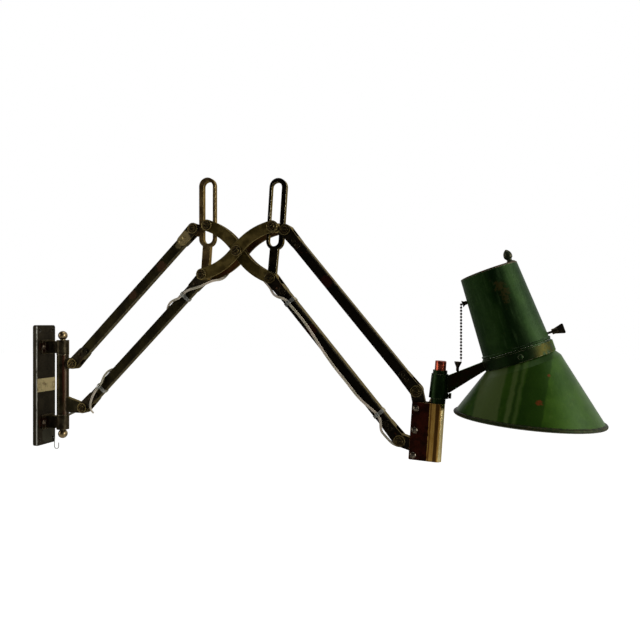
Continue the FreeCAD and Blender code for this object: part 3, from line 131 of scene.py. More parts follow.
# the studio, in metres and watts
LAMP_MIDDLE = (0.45, 0.0, 0.1)
SOFT_BOXES = {
    "key": {"place": (2.2, -0.35, 0.35), "size": 1.2, "power": 38.0},
    "fill": {"place": (-1.3, -0.75, 0.4), "size": 0.9, "power": 13.0},
    "top": {"place": (0.6, 0.1, 1.9), "size": 1.2, "power": 11.0},
}
FLOOR_HALF = 12.0
FLOOR_Z = -0.62


# ---------------------------------------------------------------- frames of the arm
def turned(x, z, lean):
    """The point (x, z) turned by lean degrees from +X towards +Z."""
    a = radians(lean)
    return x * cos(a) - z * sin(a), x * sin(a) + z * cos(a)


def frame_at(frame, x, z, lean):
    """The frame whose place is (x, z) in frame, and which leans lean more than it."""
    dx, dz = turned(x, z, frame[2])
    return frame[0] + dx, frame[1] + dz, frame[2] + lean


def point_in(frame, x, y, z):
    """The place of (x, y, z) of frame, in the object's own axes."""
    dx, dz = turned(x, z, frame[2])
    return frame[0] + dx, y, frame[1] + dz


PART = (0.0, 0.0, 0.0)
LOWER_LEFT = (*LOWER_PIN, LEFT_RISE)
LEFT_END = frame_at(LOWER_LEFT, BAR_L, 0, 0)
UPPER_LEFT = (LOWER_PIN[0] - LUG[0], LOWER_PIN[1] + LUG[1], LEFT_RISE)
LEFT_LINK = frame_at(LOWER_LEFT, BAR_L, 0, -LEFT_RISE)
RISING = frame_at(LEFT_LINK, *turned(SCISSOR_R, 0, SCISSOR_ANGLE - SAG), SCISSOR_ANGLE - SAG)
FALLING = (RISING[0], RISING[1], -SCISSOR_ANGLE - SAG)
RIGHT_LINK = frame_at(FALLING, SCISSOR_R, 0, SCISSOR_ANGLE)
LOWER_RIGHT = (RIGHT_LINK[0], RIGHT_LINK[1], -RIGHT_FALL)
RIGHT_END = frame_at(LOWER_RIGHT, BAR_L, 0, 0)
UPPER_RIGHT = (*frame_at(RIGHT_LINK, *LUG, 0)[:2], -RIGHT_FALL)
BRACKET = (*RIGHT_END[:2], -SAG)
HEAD = frame_at(BRACKET, POST_X, 0, 0)
HUSK = frame_at(HEAD, *HUSK_PLACE, HUSK_LEAN)
SHADE = frame_at(HEAD, *MOUTH, 0)


# ---------------------------------------------------------------- shader building blocks
class Shader:
    """A node material under construction, with one Principled shader."""

    def __init__(self, name):
        self.material = bpy.data.materials.new(name)
        self.material.use_nodes = True
        self.tree = self.material.node_tree
        self.surface = self.tree.nodes["Principled BSDF"]

    def add(self, kind, sockets=(), **settings):
        """A new node. sockets pairs an input with a number, a colour or another node's output."""
        made = self.tree.nodes.new(kind)
        for name, value in settings.items():
            setattr(made, name, value)
        for key, value in dict(sockets).items():
            self.put(made.inputs[key], value)
        return made

    def put(self, socket, value):
        if isinstance(value, bpy.types.NodeSocket):
            self.tree.links.new(value, socket)
        elif isinstance(value, tuple) and socket.type == "RGBA":
            socket.default_value = (*value, 1.0)
        else:
            socket.default_value = value

    def set(self, **values):
        """Sets the surface's inputs; an underscore in a name stands for a space."""
        for name, value in values.items():
            self.put(self.surface.inputs[name.replace("_", " ")], value)

    def place(self, frame=PART):
        """Where a point is in a frame of the arm, in millimetres."""
        x, z = turned(frame[0], frame[1], -frame[2])
        where = self.add("ShaderNodeTexCoord")
        mapping = self.add("ShaderNodeMapping", {
            "Vector": where.outputs["Object"], "Scale": (1000.0, 1000.0, 1000.0),
            "Rotation": (0.0, radians(frame[2]), 0.0), "Location": (-x, 0.0, -z)})
        return mapping.outputs["Vector"]

    def axis(self, place, name):
        return self.add("ShaderNodeSeparateXYZ", {"Vector": place}).outputs[name]

    def noise(self, place, size, detail=4.0, roughness=0.6, stretch=(1.0, 1.0, 1.0), seed=0.0):
        """Cloudy noise with features of about this size in millimetres, longer along a stretch."""
        scaled = self.add("ShaderNodeMapping", {
            "Vector": place, "Scale": tuple(1.0 / s for s in stretch), "Location": (seed, seed, seed)})
        made = self.add("ShaderNodeTexNoise", {
            "Vector": scaled.outputs["Vector"], "Scale": 1.0 / size, "Detail": detail,
            "Roughness": roughness})
        return made.outputs["Fac"]

    def step(self, value, low, high):
        """0 below low and 1 above high, smooth between them; high below low turns it round."""
        made = self.add("ShaderNodeMapRange", {
            "Value": value, "From Min": low, "From Max": high, "To Min": 0.0, "To Max": 1.0},
            interpolation_type="SMOOTHSTEP")
        return made.outputs["Result"]

    def band(self, value, low, high, soft):
        """1 between low and high, with soft ends."""
        return self.times(self.step(value, low - soft, low + soft),
                          self.step(value, high + soft, high - soft))

    def math(self, operation, a, b):
        return self.add("ShaderNodeMath", {0: a, 1: b}, operation=operation).outputs[0]

    def times(self, a, b):
        return self.math("MULTIPLY", a, b)

    def plus(self, a, b):
        return self.math("ADD", a, b)

    def larger(self, a, b):
        return self.math("MAXIMUM", a, b)

    def vector(self, operation, a, b, result="Value"):
        return self.add("ShaderNodeVectorMath", {0: a, 1: b}, operation=operation).outputs[result]

    def mix(self, amount, a, b):
        """The colour between a and b."""
        made = self.add("ShaderNodeMix", data_type="RGBA")
        for socket, value in ((made.inputs[0], amount), (made.inputs[6], a), (made.inputs[7], b)):
            self.put(socket, value)
        return made.outputs[2]

    def blend(self, amount, a, b):
        """The number between a and b."""
        made = self.add("ShaderNodeMix", data_type="FLOAT")
        for socket, value in ((made.inputs[0], amount), (made.inputs[2], a), (made.inputs[3], b)):
            self.put(socket, value)
        return made.outputs[0]

    def spot(self, place, centre, radius, ragged=0.35):
        """1 inside a ragged round patch."""
        shift = self.noise(place, radius * 0.6, 5.0, 0.7)
        far = self.vector("DISTANCE", place, centre)
        push = self.times(self.math("SUBTRACT", shift, 0.5), radius * 4 * ragged)
        return self.step(self.plus(far, push), radius * 1.1, radius * 0.85)

    def edge(self, size):
        """1 along the outer edges, where paint and patina wear through."""
        rounded = self.add("ShaderNodeBevel", {"Radius": size * MM}, samples=6)
        flat = self.add("ShaderNodeNewGeometry")
        likeness = self.vector("DOT_PRODUCT", rounded.outputs["Normal"], flat.outputs["Normal"])
        return self.step(likeness, 0.99, 0.86)

    def relief(self, coarse, coarse_depth, fine, fine_depth, bevel=0.5):
        """Shallow dents and a fine grain, each this deep in millimetres, over rounded edges."""
        height = self.plus(self.times(coarse, coarse_depth), self.times(fine, fine_depth))
        rounded = self.add("ShaderNodeBevel", {"Radius": bevel * MM}, samples=4)
        made = self.add("ShaderNodeBump", {
            "Height": height, "Distance": MM, "Strength": 1.0, "Normal": rounded.outputs["Normal"]})
        self.put(self.surface.inputs["Normal"], made.outputs["Normal"])

    def ring_masks(self, place, centres):
        """The painted highlights on rims, and the painted shade in grooves and recesses, round pins that run
        along Y.
        """
        flat = self.vector("MULTIPLY", place, (1.0, 0.0, 1.0), "Vector")
        # farther than any boss reaches
        nearest = 100.0
        for x, z in centres:
            nearest = self.math("MINIMUM", nearest, self.vector("DISTANCE", flat, (x, 0.0, z)))
        rim = self.band(nearest, *PIN_HIGHLIGHT_RIM, 0.35)
        groove = self.band(nearest, *PIN_SHADED_GROOVE, 0.5)
        return rim, groove, self.step(nearest, *PIN_SHADED_RECESS)


# ---------------------------------------------------------------- materials
# colours that several finishes share
RUST = (0.075, 0.020, 0.008)
# for specks of dirt, and for the painted shade in the grooves and recesses round pins
DIRT_AND_SHADE = (0.006, 0.005, 0.003)
WARM_SHEEN = (1.0, 0.80, 0.42)
GREEN_SHEEN = (0.50, 1.0, 0.24)


def scaled(colour, factor):
    """A colour made this many times as bright."""
    return tuple(c * factor for c in colour)


def aged_metal(name, frame, base, mottle, worn, metallic=0.75, rough=0.42, blotch=16.0,
               wear=0.6, rust=0.0, marks=(), strips=(), pins=()):
    """Old plated or painted metal: blotchy patina, specks of dirt, bright worn edges.

    marks are ragged patches (centre, radius, colour). strips are bands (axis, low, high, colour).
    pins are places in the XZ plane, each with a boss round it, a painted highlight on its rim that joins the
    worn edges, and painted shade in its groove and recess."""
    s = Shader(name)
    place = s.place(frame)
    patches = s.noise(place, blotch, 5.0, 0.62)
    colour = s.mix(s.step(patches, 0.40, 0.62), base, mottle)
    specks = s.noise(place, 2.2, 6.0, 0.7, seed=7.0)
    colour = s.mix(s.times(s.step(specks, 0.52, 0.70), 0.75), colour, DIRT_AND_SHADE)
    if rust:
        rusty = s.noise(place, 9.0, 6.0, 0.7, seed=31.0)
        colour = s.mix(s.step(rusty, 0.66 - 0.16 * rust, 0.74 - 0.12 * rust), colour, RUST)
    for axis, low, high, tint in strips:
        inside = s.band(s.axis(place, axis), low, high, 0.5)
        broken = s.step(s.noise(place, 6.0, 5.0, 0.65, seed=3.0), 0.36, 0.52)
        colour = s.mix(s.times(inside, broken), colour, tint)
    for centre, radius, tint in marks:
        colour = s.mix(s.spot(place, centre, radius), colour, tint)
    scuffs = s.step(s.noise(place, 5.0, 6.0, 0.7, seed=13.0), 0.62 - 0.30 * wear, 0.72 - 0.22 * wear)
    worn_edge = s.times(s.edge(0.7), scuffs)
    if pins:
        # round each pin: painted shade in the groove and recess, and a painted highlight on the rim that
        # joins the worn edges
        rim, groove, recess = s.ring_masks(place, pins)
        colour = s.mix(s.larger(groove, recess), colour, DIRT_AND_SHADE)
        worn_edge = s.larger(worn_edge, s.times(rim, scuffs))
    colour = s.mix(worn_edge, colour, worn)
    fine = s.noise(place, 1.1, 6.0, 0.75, seed=19.0)
    shine = s.blend(s.step(fine, 0.35, 0.65), rough - 0.08, rough + 0.14)
    s.set(Base_Color=colour, Metallic=metallic, Roughness=s.blend(worn_edge, shine, 0.30),
          Specular_IOR_Level=0.3, Specular_Tint=WARM_SHEEN)
    s.relief(patches, 0.25, fine, 0.03)
    return s.material


def wall_plate_paint():
    """Dark olive-brown plate, scratched and speckled: rust by the hinge brackets, worn edges, and painted
    highlight lines down the long edges of its front.
    """
    s = Shader("wall_plate_paint")
    place = s.place()
    patches = s.noise(place, 16.0, 6.0, 0.68)
    colour = s.mix(s.step(patches, 0.36, 0.66), (0.0040, 0.0028, 0.0018), (0.017, 0.0135, 0.0075))
    specks = s.noise(place, 2.4, 6.0, 0.75, seed=7.0)
    colour = s.mix(s.times(s.step(specks, 0.55, 0.68), 0.6), colour, (0.050, 0.043, 0.028))
    rusty_feet = (((7.0, -9.3, 60.0), 8.0), ((7.0, 9.3, 62.0), 7.0), ((7.0, -9.3, -59.0), 9.0))
    for centre, radius in rusty_feet:
        colour = s.mix(s.times(s.spot(place, centre, radius), 0.85), colour, (0.026, 0.0075, 0.004))
    rubbed = s.spot(place, (7.0, 4.0, -80.0), 14.0)
    colour = s.mix(s.times(rubbed, 0.6), colour, (0.040, 0.040, 0.028))
    front = s.step(s.axis(place, "X"), 5.4, 6.2)
    beside = s.axis(place, "Y")
    # painted highlight: light lines down the two long edges of the front
    left_highlight_line = s.band(beside, -22.6, -20.4, 0.35)
    right_highlight_line = s.band(beside, 21.0, 22.6, 0.3)
    line = s.larger(left_highlight_line, right_highlight_line)
    broken = s.step(s.noise(place, 7.0, 5.0, 0.65, (1.0, 1.0, 4.0), seed=3.0), 0.34, 0.50)
    # worn holds both the painted highlight lines, broken up, and the scuffed edges
    worn = s.times(s.times(front, line), broken)
    scuffs = s.step(s.noise(place, 5.0, 6.0, 0.7, seed=13.0), 0.42, 0.56)
    worn = s.larger(worn, s.times(s.edge(0.7), scuffs))
    colour = s.mix(worn, colour, (0.30, 0.29, 0.25))
    fine = s.noise(place, 1.2, 6.0, 0.75, seed=19.0)
    s.set(Base_Color=colour, Metallic=s.blend(worn, 0.35, 0.85), Specular_IOR_Level=0.16,
          Specular_Tint=WARM_SHEEN,
          Roughness=s.blend(worn, s.blend(fine, 0.36, 0.58), 0.34))
    s.relief(patches, 0.4, specks, 0.05)
    return s.material


def hinge_metal():
    """Brackets: dark olive-brown castings, rusty at the foot."""
    marks = [((10.0, -9.3, height), 8.0, (0.020, 0.007, 0.004)) for height in (60.0, -59.0)]
    return aged_metal("hinge_metal", PART, (0.012, 0.009, 0.005), (0.040, 0.032, 0.018),
                      (0.26, 0.22, 0.14), metallic=0.8, rough=0.42, blotch=10.0, wear=0.7, rust=0.4,
                      marks=marks)


def barrel_metal():
    """The swivel's barrel: dark olive, with a red-brown line and a painted highlight line down it."""
    s = Shader("barrel_metal")
    place = s.place()
    patches = s.noise(place, 12.0, 6.0, 0.66)
    colour = s.mix(s.step(patches, 0.38, 0.62), (0.011, 0.009, 0.004), (0.036, 0.029, 0.014))
    across = s.vector("DOT_PRODUCT", place, BARREL_ACROSS)
    beside = s.math("SUBTRACT", across, HINGE_X * BARREL_ACROSS[0])
    tube = s.step(s.axis(place, "X"), HINGE_X + 10.4, HINGE_X + 9.6)
    broken = s.step(s.noise(place, 6.0, 6.0, 0.68, (1.0, 1.0, 3.0), seed=5.0), 0.36, 0.54)
    red = s.times(s.times(s.band(beside, -1.6, 2.2, 0.6), tube), broken)
    colour = s.mix(red, colour, (0.034, 0.010, 0.006))
    # painted highlight: a lighter line down the barrel's side
    light = s.times(s.times(s.band(beside, 2.8, 6.0, 0.8), tube), broken)
    colour = s.mix(s.times(light, 0.8), colour, (0.085, 0.058, 0.040))
    specks = s.noise(place, 2.0, 6.0, 0.7, seed=7.0)
    colour = s.mix(s.times(s.step(specks, 0.54, 0.68), 0.7), colour, DIRT_AND_SHADE)
    scuffs = s.step(s.noise(place, 5.0, 6.0, 0.7, seed=13.0), 0.40, 0.55)
    worn_edge = s.times(s.edge(0.7), scuffs)
    colour = s.mix(worn_edge, colour, (0.26, 0.23, 0.14))
    fine = s.noise(place, 1.1, 6.0, 0.75, seed=19.0)
    s.set(Base_Color=colour, Metallic=0.8, Roughness=s.blend(fine, 0.32, 0.50), Specular_IOR_Level=0.3,
          Specular_Tint=WARM_SHEEN)
    s.relief(patches, 0.25, fine, 0.03)
    return s.material


def bare_brass(name, tone, rough=0.28, tarnish=0.45):
    """Bare brass, browned in patches."""
    s = Shader(name)
    place = s.place()
    stain = s.noise(place, 6.0, 6.0, 0.65)
    brown = tuple(t * k for t, k in zip(tone, (0.22, 0.15, 0.10)))
    colour = s.mix(s.step(stain, 0.62 - 0.3 * tarnish, 0.74), tone, brown)
    fine = s.noise(place, 0.9, 5.0, 0.7, seed=5.0)
    s.set(Base_Color=colour, Metallic=0.95, Roughness=s.blend(fine, rough - 0.05, rough + 0.16))
    s.relief(stain, 0.05, fine, 0.015)
    return s.material


def left_bar_metal():
    """The upper left bar: nearly black olive, a rubbed lower edge, a gold rub and rusty patches."""
    strips = [("Z", 6.6, 8.0, (0.006, 0.005, 0.003)), ("Z", -8.0, -6.7, (0.085, 0.075, 0.045))]
    marks = [((256.0, -4.0, 0.0), 5.0, (0.11, 0.088, 0.038)),
             ((150.0, -4.0, 2.0), 7.0, (0.036, 0.016, 0.008)),
             ((214.0, -4.0, -2.0), 8.0, (0.042, 0.019, 0.009))]
    return aged_metal("left_bar_metal", UPPER_LEFT, (0.0034, 0.0027, 0.0008), (0.018, 0.0140, 0.0036),
                      (0.22, 0.20, 0.15), metallic=0.75, rough=0.42, blotch=26.0, wear=0.75, rust=0.1,
                      marks=marks, strips=strips)


def lower_left_bar_metal():
    """The lower left bar: as the upper one, without its patches."""
    strips = [("Z", 6.4, 8.0, (0.010, 0.008, 0.005)), ("Z", -8.0, -6.4, (0.065, 0.058, 0.034))]
    return aged_metal("lower_left_bar_metal", LOWER_LEFT, (0.0034, 0.0028, 0.0009), (0.018, 0.0140, 0.0040),
                      (0.20, 0.185, 0.14), metallic=0.75, rough=0.42, blotch=26.0, wear=0.7,
                      rust=0.05, strips=strips)


def right_bar_metal(name, frame):
    """The right pair of bars: darker, with a rubbed upper edge and one red patch."""
    strips = [("Z", 5.6, 8.0, (0.075, 0.066, 0.045))]
    marks = [((96.0, -7.5, -1.0), 9.0, (0.022, 0.0045, 0.003))]
    return aged_metal(name, frame, (0.0016, 0.0009, 0.0006), (0.0060, 0.0040, 0.0024),
                      (0.11, 0.095, 0.07), metallic=0.8, rough=0.42, blotch=22.0, wear=0.6, rust=0.05,
                      marks=marks, strips=strips)


def fork_metal(name, frame, tint=1.0, marks=()):
    """The bars' cheeks and the bracket's casting: dark brown with small rust patches."""
    base = scaled((0.0060, 0.0044, 0.0026), tint)
    mottle = scaled((0.020, 0.015, 0.0085), tint)
    return aged_metal(name, frame, base, mottle, (0.15, 0.125, 0.08), metallic=0.8, rough=0.42,
                      blotch=9.0, wear=0.7, rust=0.35, marks=marks)


def scissor_metal():
    """Olive-yellow patina; the rear plates are rustier."""
    s = Shader("scissor_metal")
    place = s.place()
    patches = s.noise(place, 15.0, 5.0, 0.62)
    colour = s.mix(s.step(patches, 0.38, 0.62), (0.050, 0.034, 0.0075), (0.135, 0.096, 0.027))
    rear = s.step(s.axis(place, "Y"), 2.0, 4.0)
    rusty = s.noise(place, 8.0, 6.0, 0.7, seed=31.0)
    tone = s.mix(s.step(rusty, 0.40, 0.60), (0.088, 0.048, 0.014), (0.125, 0.036, 0.013))
    colour = s.mix(s.times(rear, 0.8), colour, tone)
    specks = s.noise(place, 2.0, 6.0, 0.7, seed=7.0)
    colour = s.mix(s.times(s.step(specks, 0.54, 0.70), 0.7), colour, DIRT_AND_SHADE)
    scuffs = s.step(s.noise(place, 6.0, 6.0, 0.7, seed=13.0), 0.36, 0.52)
    worn_edge = s.times(s.edge(1.3), scuffs)
    colour = s.mix(worn_edge, colour, (0.42, 0.34, 0.15))
    fine = s.noise(place, 1.1, 6.0, 0.75, seed=19.0)
    s.set(Base_Color=colour, Metallic=0.8, Roughness=s.blend(worn_edge, s.blend(fine, 0.34, 0.56), 0.28),
          Specular_IOR_Level=0.25, Specular_Tint=WARM_SHEEN)
    s.relief(patches, 0.25, fine, 0.03)
    return s.material


def loop_metal():
    """The left slotted link: brown, with gold wear."""
    return aged_metal("loop_metal", LEFT_LINK, (0.075, 0.040, 0.014), (0.21, 0.135, 0.050),
                      (0.52, 0.41, 0.20), metallic=0.85, rough=0.32, blotch=14.0, wear=1.0, rust=0.15)


def right_loop_metal():
    """The right slotted link: nearly black, with pale worn edges."""
    return aged_metal("right_loop_metal", RIGHT_LINK, (0.0040, 0.0028, 0.0012), (0.026, 0.020, 0.009),
                      (0.50, 0.46, 0.34), metallic=0.85, rough=0.28, blotch=12.0, wear=1.1, rust=0.15)


def pin_metal(name, pins, tint=1.0):
    """Washers, bolts and nuts: a light ring of painted highlight round a recess darkened as painted shade.
    """
    base = scaled((0.040, 0.022, 0.008), tint)
    mottle = scaled((0.105, 0.068, 0.024), tint)
    worn = scaled((0.34, 0.26, 0.10), tint)
    return aged_metal(name, PART, base, mottle, worn, metallic=0.8, rough=0.38, blotch=6.0, wear=0.9,
                      rust=0.3, pins=pins)


def strap_metal():
    """Mahogany-brown legs and a round part polished to gold by the lamp's swinging, with painted highlight
    and painted dark reflection bands down the gold.
    """
    s = Shader("strap_metal")
    place = s.place(HEAD)
    across = s.axis(place, "X")
    ragged = s.plus(across, s.times(s.noise(place, 5.0, 5.0, 0.6), 3.0))
    gold = s.step(ragged, -9.0, -7.8)
    patches = s.noise(place, 10.0, 6.0, 0.65, seed=2.0)
    brown = s.mix(s.step(patches, 0.36, 0.64), (0.0075, 0.0006, 0.0004), (0.036, 0.0040, 0.0018))
    scratches = s.noise(place, 1.6, 5.0, 0.7, (1.0, 1.0, 9.0), seed=4.0)
    bright = s.mix(s.step(scratches, 0.40, 0.72), (0.78, 0.46, 0.11), (0.52, 0.25, 0.04))
    wavy = s.noise(place, 9.0, 4.0, 0.6, (1.0, 1.0, 6.0), seed=6.0)
    wander = s.plus(across, s.times(wavy, 2.0))
    # painted highlight and painted dark reflection bands down the polished gold
    painted_reflection_bands = ((-8.2, -6.4, 0.5, 0.8, (0.16, 0.060, 0.014)), (-1.0, 4.0, 0.8, 0.92, (0.085, 0.030, 0.005)),
               (6.2, 11.4, 0.8, 0.9, (0.98, 0.84, 0.42)))
    for low, high, soft, amount, tint in painted_reflection_bands:
        bright = s.mix(s.times(s.band(wander, low, high, soft), amount), bright, tint)
    # painted reflection: the gold darker towards its far edge
    bright = s.mix(s.times(s.step(wander, 12.0, 13.4), 0.6), bright, (0.34, 0.20, 0.05))
    colour = s.mix(gold, brown, bright)
    worn_edge = s.times(s.edge(0.6), s.step(patches, 0.40, 0.55))
    colour = s.mix(worn_edge, colour, (0.45, 0.28, 0.12))
    fine = s.noise(place, 1.0, 6.0, 0.75, seed=9.0)
    s.set(Base_Color=colour, Metallic=s.blend(gold, 0.6, 1.0), Specular_IOR_Level=0.2,
          Specular_Tint=WARM_SHEEN,
          Roughness=s.blend(gold, s.blend(fine, 0.36, 0.58), s.blend(fine, 0.12, 0.20)))
    s.relief(patches, 0.12, fine, 0.012)
    return s.material


def post_copper():
    """The post: copper red where it stands out of the collar, gold below."""
    s = Shader("post_copper")
    place = s.place(HEAD)
    up = s.axis(place, "Z")
    stain = s.noise(place, 5.0, 6.0, 0.65)
    copper = s.mix(s.step(stain, 0.40, 0.62), (0.40, 0.075, 0.035), (0.16, 0.030, 0.018))
    colour = s.mix(s.step(up, 52.0, 60.0), (0.34, 0.20, 0.07), copper)
    fine = s.noise(place, 0.9, 5.0, 0.7, seed=5.0)
    s.set(Base_Color=colour, Metallic=0.95, Roughness=s.blend(fine, 0.20, 0.34))
    s.relief(stain, 0.05, fine, 0.012)
    return s.material


def arm_paint():
    """Green paint on the collar and ring, rubbed to brown and dark metal on the arm."""
    s = Shader("arm_paint")
    place = s.place(HEAD)
    along = s.axis(place, "X")
    patches = s.noise(place, 13.0, 6.0, 0.66)
    green = s.mix(s.step(patches, 0.38, 0.62), (0.0004, 0.0012, 0.0004), (0.0022, 0.0066, 0.0016))
    brown = s.mix(s.noise(place, 7.0, 5.0, 0.6, seed=3.0), (0.0060, 0.0016, 0.0008), (0.020, 0.0070, 0.0026))
    rubbed = s.times(s.step(along, 8.0, 18.0), s.step(along, 66.0, 44.0))
    front = s.step(along, 106.0, 126.0)
    bare = s.plus(rubbed, s.times(front, 0.95))
    ragged = s.times(bare, s.step(s.noise(place, 8.0, 6.0, 0.7, seed=21.0), 0.34, 0.50))
    olive = s.mix(s.noise(place, 5.0, 5.0, 0.65, seed=8.0), (0.015, 0.0095, 0.0014), (0.038, 0.025, 0.0045))
    colour = s.mix(ragged, green, s.mix(front, brown, olive))
    worn_edge = s.times(s.edge(0.7), s.step(patches, 0.40, 0.55))
    colour = s.mix(worn_edge, colour, (0.19, 0.175, 0.11))
    fine = s.noise(place, 1.2, 6.0, 0.72, seed=19.0)
    s.set(Base_Color=colour, Metallic=s.blend(ragged, 0.1, 0.6), Roughness=s.blend(fine, 0.30, 0.52),
          Specular_IOR_Level=0.16, Specular_Tint=GREEN_SHEEN)
    s.relief(patches, 0.3, fine, 0.03)
    return s.material


def husk_enamel():
    """Old green paint on the husk: a painted dark band of shade and pale streaks down its side, and rusty
    chips.
    """
    s = Shader("husk_enamel")
    place = s.place(HUSK)
    clouds = s.noise(place, 26.0, 5.0, 0.6)
    colour = s.mix(s.step(clouds, 0.36, 0.66), (0.0030, 0.0130, 0.0018), (0.0110, 0.0280, 0.0050))
    across = s.vector("DOT_PRODUCT", place, HUSK_ACROSS)
    ragged = s.noise(place, 18.0, 6.0, 0.68, (1.0, 1.0, 2.5), seed=37.0)
    # painted shade: a dark band down the husk, with ragged sides
    painted_shade_band = s.plus(across, s.times(ragged, 16.0))
    colour = s.mix(s.times(s.band(painted_shade_band, -16.0, 6.0, 6.0), 0.92), colour, (0.0002, 0.0026, 0.0004))
    streaks = s.noise(place, 4.0, 5.0, 0.65, (1.0, 1.0, 8.0), seed=11.0)
    colour = s.mix(s.times(s.step(streaks, 0.50, 0.72), 0.55), colour, (0.020, 0.038, 0.013))
    chips = s.noise(place, 7.0, 6.0, 0.72, seed=23.0)
    chipped = s.step(chips, 0.655, 0.685)
    large_chips = (((6.0, -38.0, 82.0), 6.0), ((9.0, -37.0, 73.0), 5.5), ((7.0, -38.0, 64.0), 4.0))
    for centre, radius in large_chips:
        chipped = s.larger(chipped, s.times(s.spot(place, centre, radius, 1.4), 0.7))
    colour = s.mix(s.times(chipped, 0.7), colour, (0.026, 0.013, 0.003))
    worn_edge = s.times(s.edge(0.8), s.step(clouds, 0.38, 0.52))
    colour = s.mix(worn_edge, colour, (0.10, 0.135, 0.085))
    fine = s.noise(place, 1.4, 6.0, 0.72, seed=19.0)
    s.set(Base_Color=colour, Metallic=0.0, Roughness=s.blend(chipped, s.blend(fine, 0.40, 0.54), 0.75),
          Specular_IOR_Level=0.12, Specular_Tint=GREEN_SHEEN)
    s.relief(clouds, 0.8, fine, 0.03)
    return s.material


def shade_enamel():
    """Green enamel outside, with painted pale reflections and painted dark shade as slanting streaks on its
    near side, white inside: a worn dark bead, rusty chips.
    """
    s = Shader("shade_enamel")
    place = s.place(SHADE)
    clouds = s.noise(place, 34.0, 4.0, 0.55)
    green = s.mix(s.step(clouds, 0.36, 0.66), (0.0100, 0.0310, 0.0010), (0.0220, 0.0530, 0.0034))
    runs = s.noise(place, 6.0, 5.0, 0.6, (1.0, 1.0, 7.0), seed=3.0)
    green = s.mix(s.times(s.step(runs, 0.55, 0.78), 0.45), green, (0.046, 0.080, 0.012))
    slanted = s.vector("DOT_PRODUCT", place, (1.0, 0.0, -PAINTED_STREAK_LEAN))
    wavy = s.noise(place, 12.0, 4.0, 0.6, seed=51.0)
    beside = s.plus(slanted, s.times(wavy, 5.0))
    # painted reflections and painted shade: pale and dark slanting bands on the near half only
    near = s.step(s.axis(place, "Y"), 0.0, -8.0)
    streaks = ((-68.0, -40.0, (0.062, 0.082, 0.024)), (-32.0, -26.5, (0.058, 0.082, 0.022)),
               (-25.5, -23.0, (0.010, 0.022, 0.003)), (-22.0, -18.5, (0.040, 0.062, 0.014)),
               (-17.0, 10.0, (0.0040, 0.0150, 0.0004)))
    for low, high, tint in streaks:
        painted_band = s.times(s.band(beside, low, high, 1.6), near)
        green = s.mix(s.times(painted_band, 0.75), green, tint)
    # the neck, painted dark as shade under the husk where the ring holds it
    up = s.axis(s.place(HUSK), "Z")
    green = s.mix(s.step(up, -5.0, -2.5), green, (0.0040, 0.0100, 0.0020))
    own = s.add("ShaderNodeTexCoord")
    outward = s.vector("MULTIPLY", place, (1.0, 1.0, 0.0), "Vector")
    facing = s.vector("DOT_PRODUCT", outward, own.outputs["Normal"])
    colour = s.mix(s.step(facing, -0.5, -6.0), green, (0.78, 0.78, 0.72))
    height = s.axis(place, "Z")
    rim = s.plus(height, s.times(s.noise(place, 7.0, 6.0, 0.7, seed=17.0), 3.0))
    bead = s.step(rim, 5.0, 3.8)
    bead_tone = s.mix(s.step(s.noise(place, 5.0, 6.0, 0.7, seed=29.0), 0.42, 0.66),
                      (0.0030, 0.0020, 0.0008), (0.026, 0.018, 0.007))
    bead_tone = s.mix(s.times(s.band(height, -2.6, -1.2, 0.5), 0.8), bead_tone, (0.11, 0.105, 0.075))
    colour = s.mix(bead, colour, bead_tone)
    chips = s.step(s.noise(place, 8.0, 6.0, 0.74, seed=43.0), 0.69, 0.71)
    large_chips = (((5.0, -72.0, 27.0), 5.0), ((-5.0, -74.0, 25.0), 2.2), ((16.0, -52.0, 60.0), 2.2))
    for centre, radius in large_chips:
        chips = s.larger(chips, s.spot(place, centre, radius, 0.5))
    colour = s.mix(chips, colour, (0.080, 0.012, 0.002))
    fine = s.noise(place, 1.6, 5.0, 0.7, seed=19.0)
    dull = s.larger(bead, chips)
    s.set(Base_Color=colour, Metallic=0.0, Roughness=s.blend(dull, s.blend(fine, 0.36, 0.48), 0.55),
          Specular_IOR_Level=0.17, Specular_Tint=GREEN_SHEEN)
    s.relief(clouds, 0.6, fine, 0.01)
    return s.material


def lid_paint():
    return aged_metal("lid_paint", HUSK, (0.0060, 0.0090, 0.0040), (0.030, 0.020, 0.011),
                      (0.14, 0.14, 0.10), metallic=0.3, rough=0.48, blotch=12.0, wear=0.8, rust=0.6)


def black_metal(name, rough=0.34):
    """Blackened brass of chain, key and knobs, with brown wear."""
    return aged_metal(name, HEAD, (0.004, 0.0035, 0.003), (0.012, 0.009, 0.006), (0.075, 0.055, 0.032),
                      metallic=0.5, rough=rough, blotch=6.0, wear=0.6)


def finial_metal():
    return aged_metal("finial_metal", HUSK, (0.004, 0.010, 0.005), (0.012, 0.022, 0.011),
                      (0.085, 0.095, 0.06), metallic=0.25, rough=0.38, blotch=5.0, wear=0.8, rust=0.25)


def screw_metal():
    """Dome-headed screws, browned but bright where a tool has rubbed them."""
    return aged_metal("screw_metal", PART, (0.050, 0.034, 0.022), (0.16, 0.13, 0.09), (0.52, 0.48, 0.40),
                      metallic=0.9, rough=0.28, blotch=4.0, wear=0.9, rust=0.3)


def galvanised_wire():
    return aged_metal("galvanised_wire", LOWER_LEFT, (0.20, 0.20, 0.18), (0.36, 0.36, 0.32),
                      (0.62, 0.62, 0.58), metallic=0.8, rough=0.36, blotch=5.0, wear=0.9)


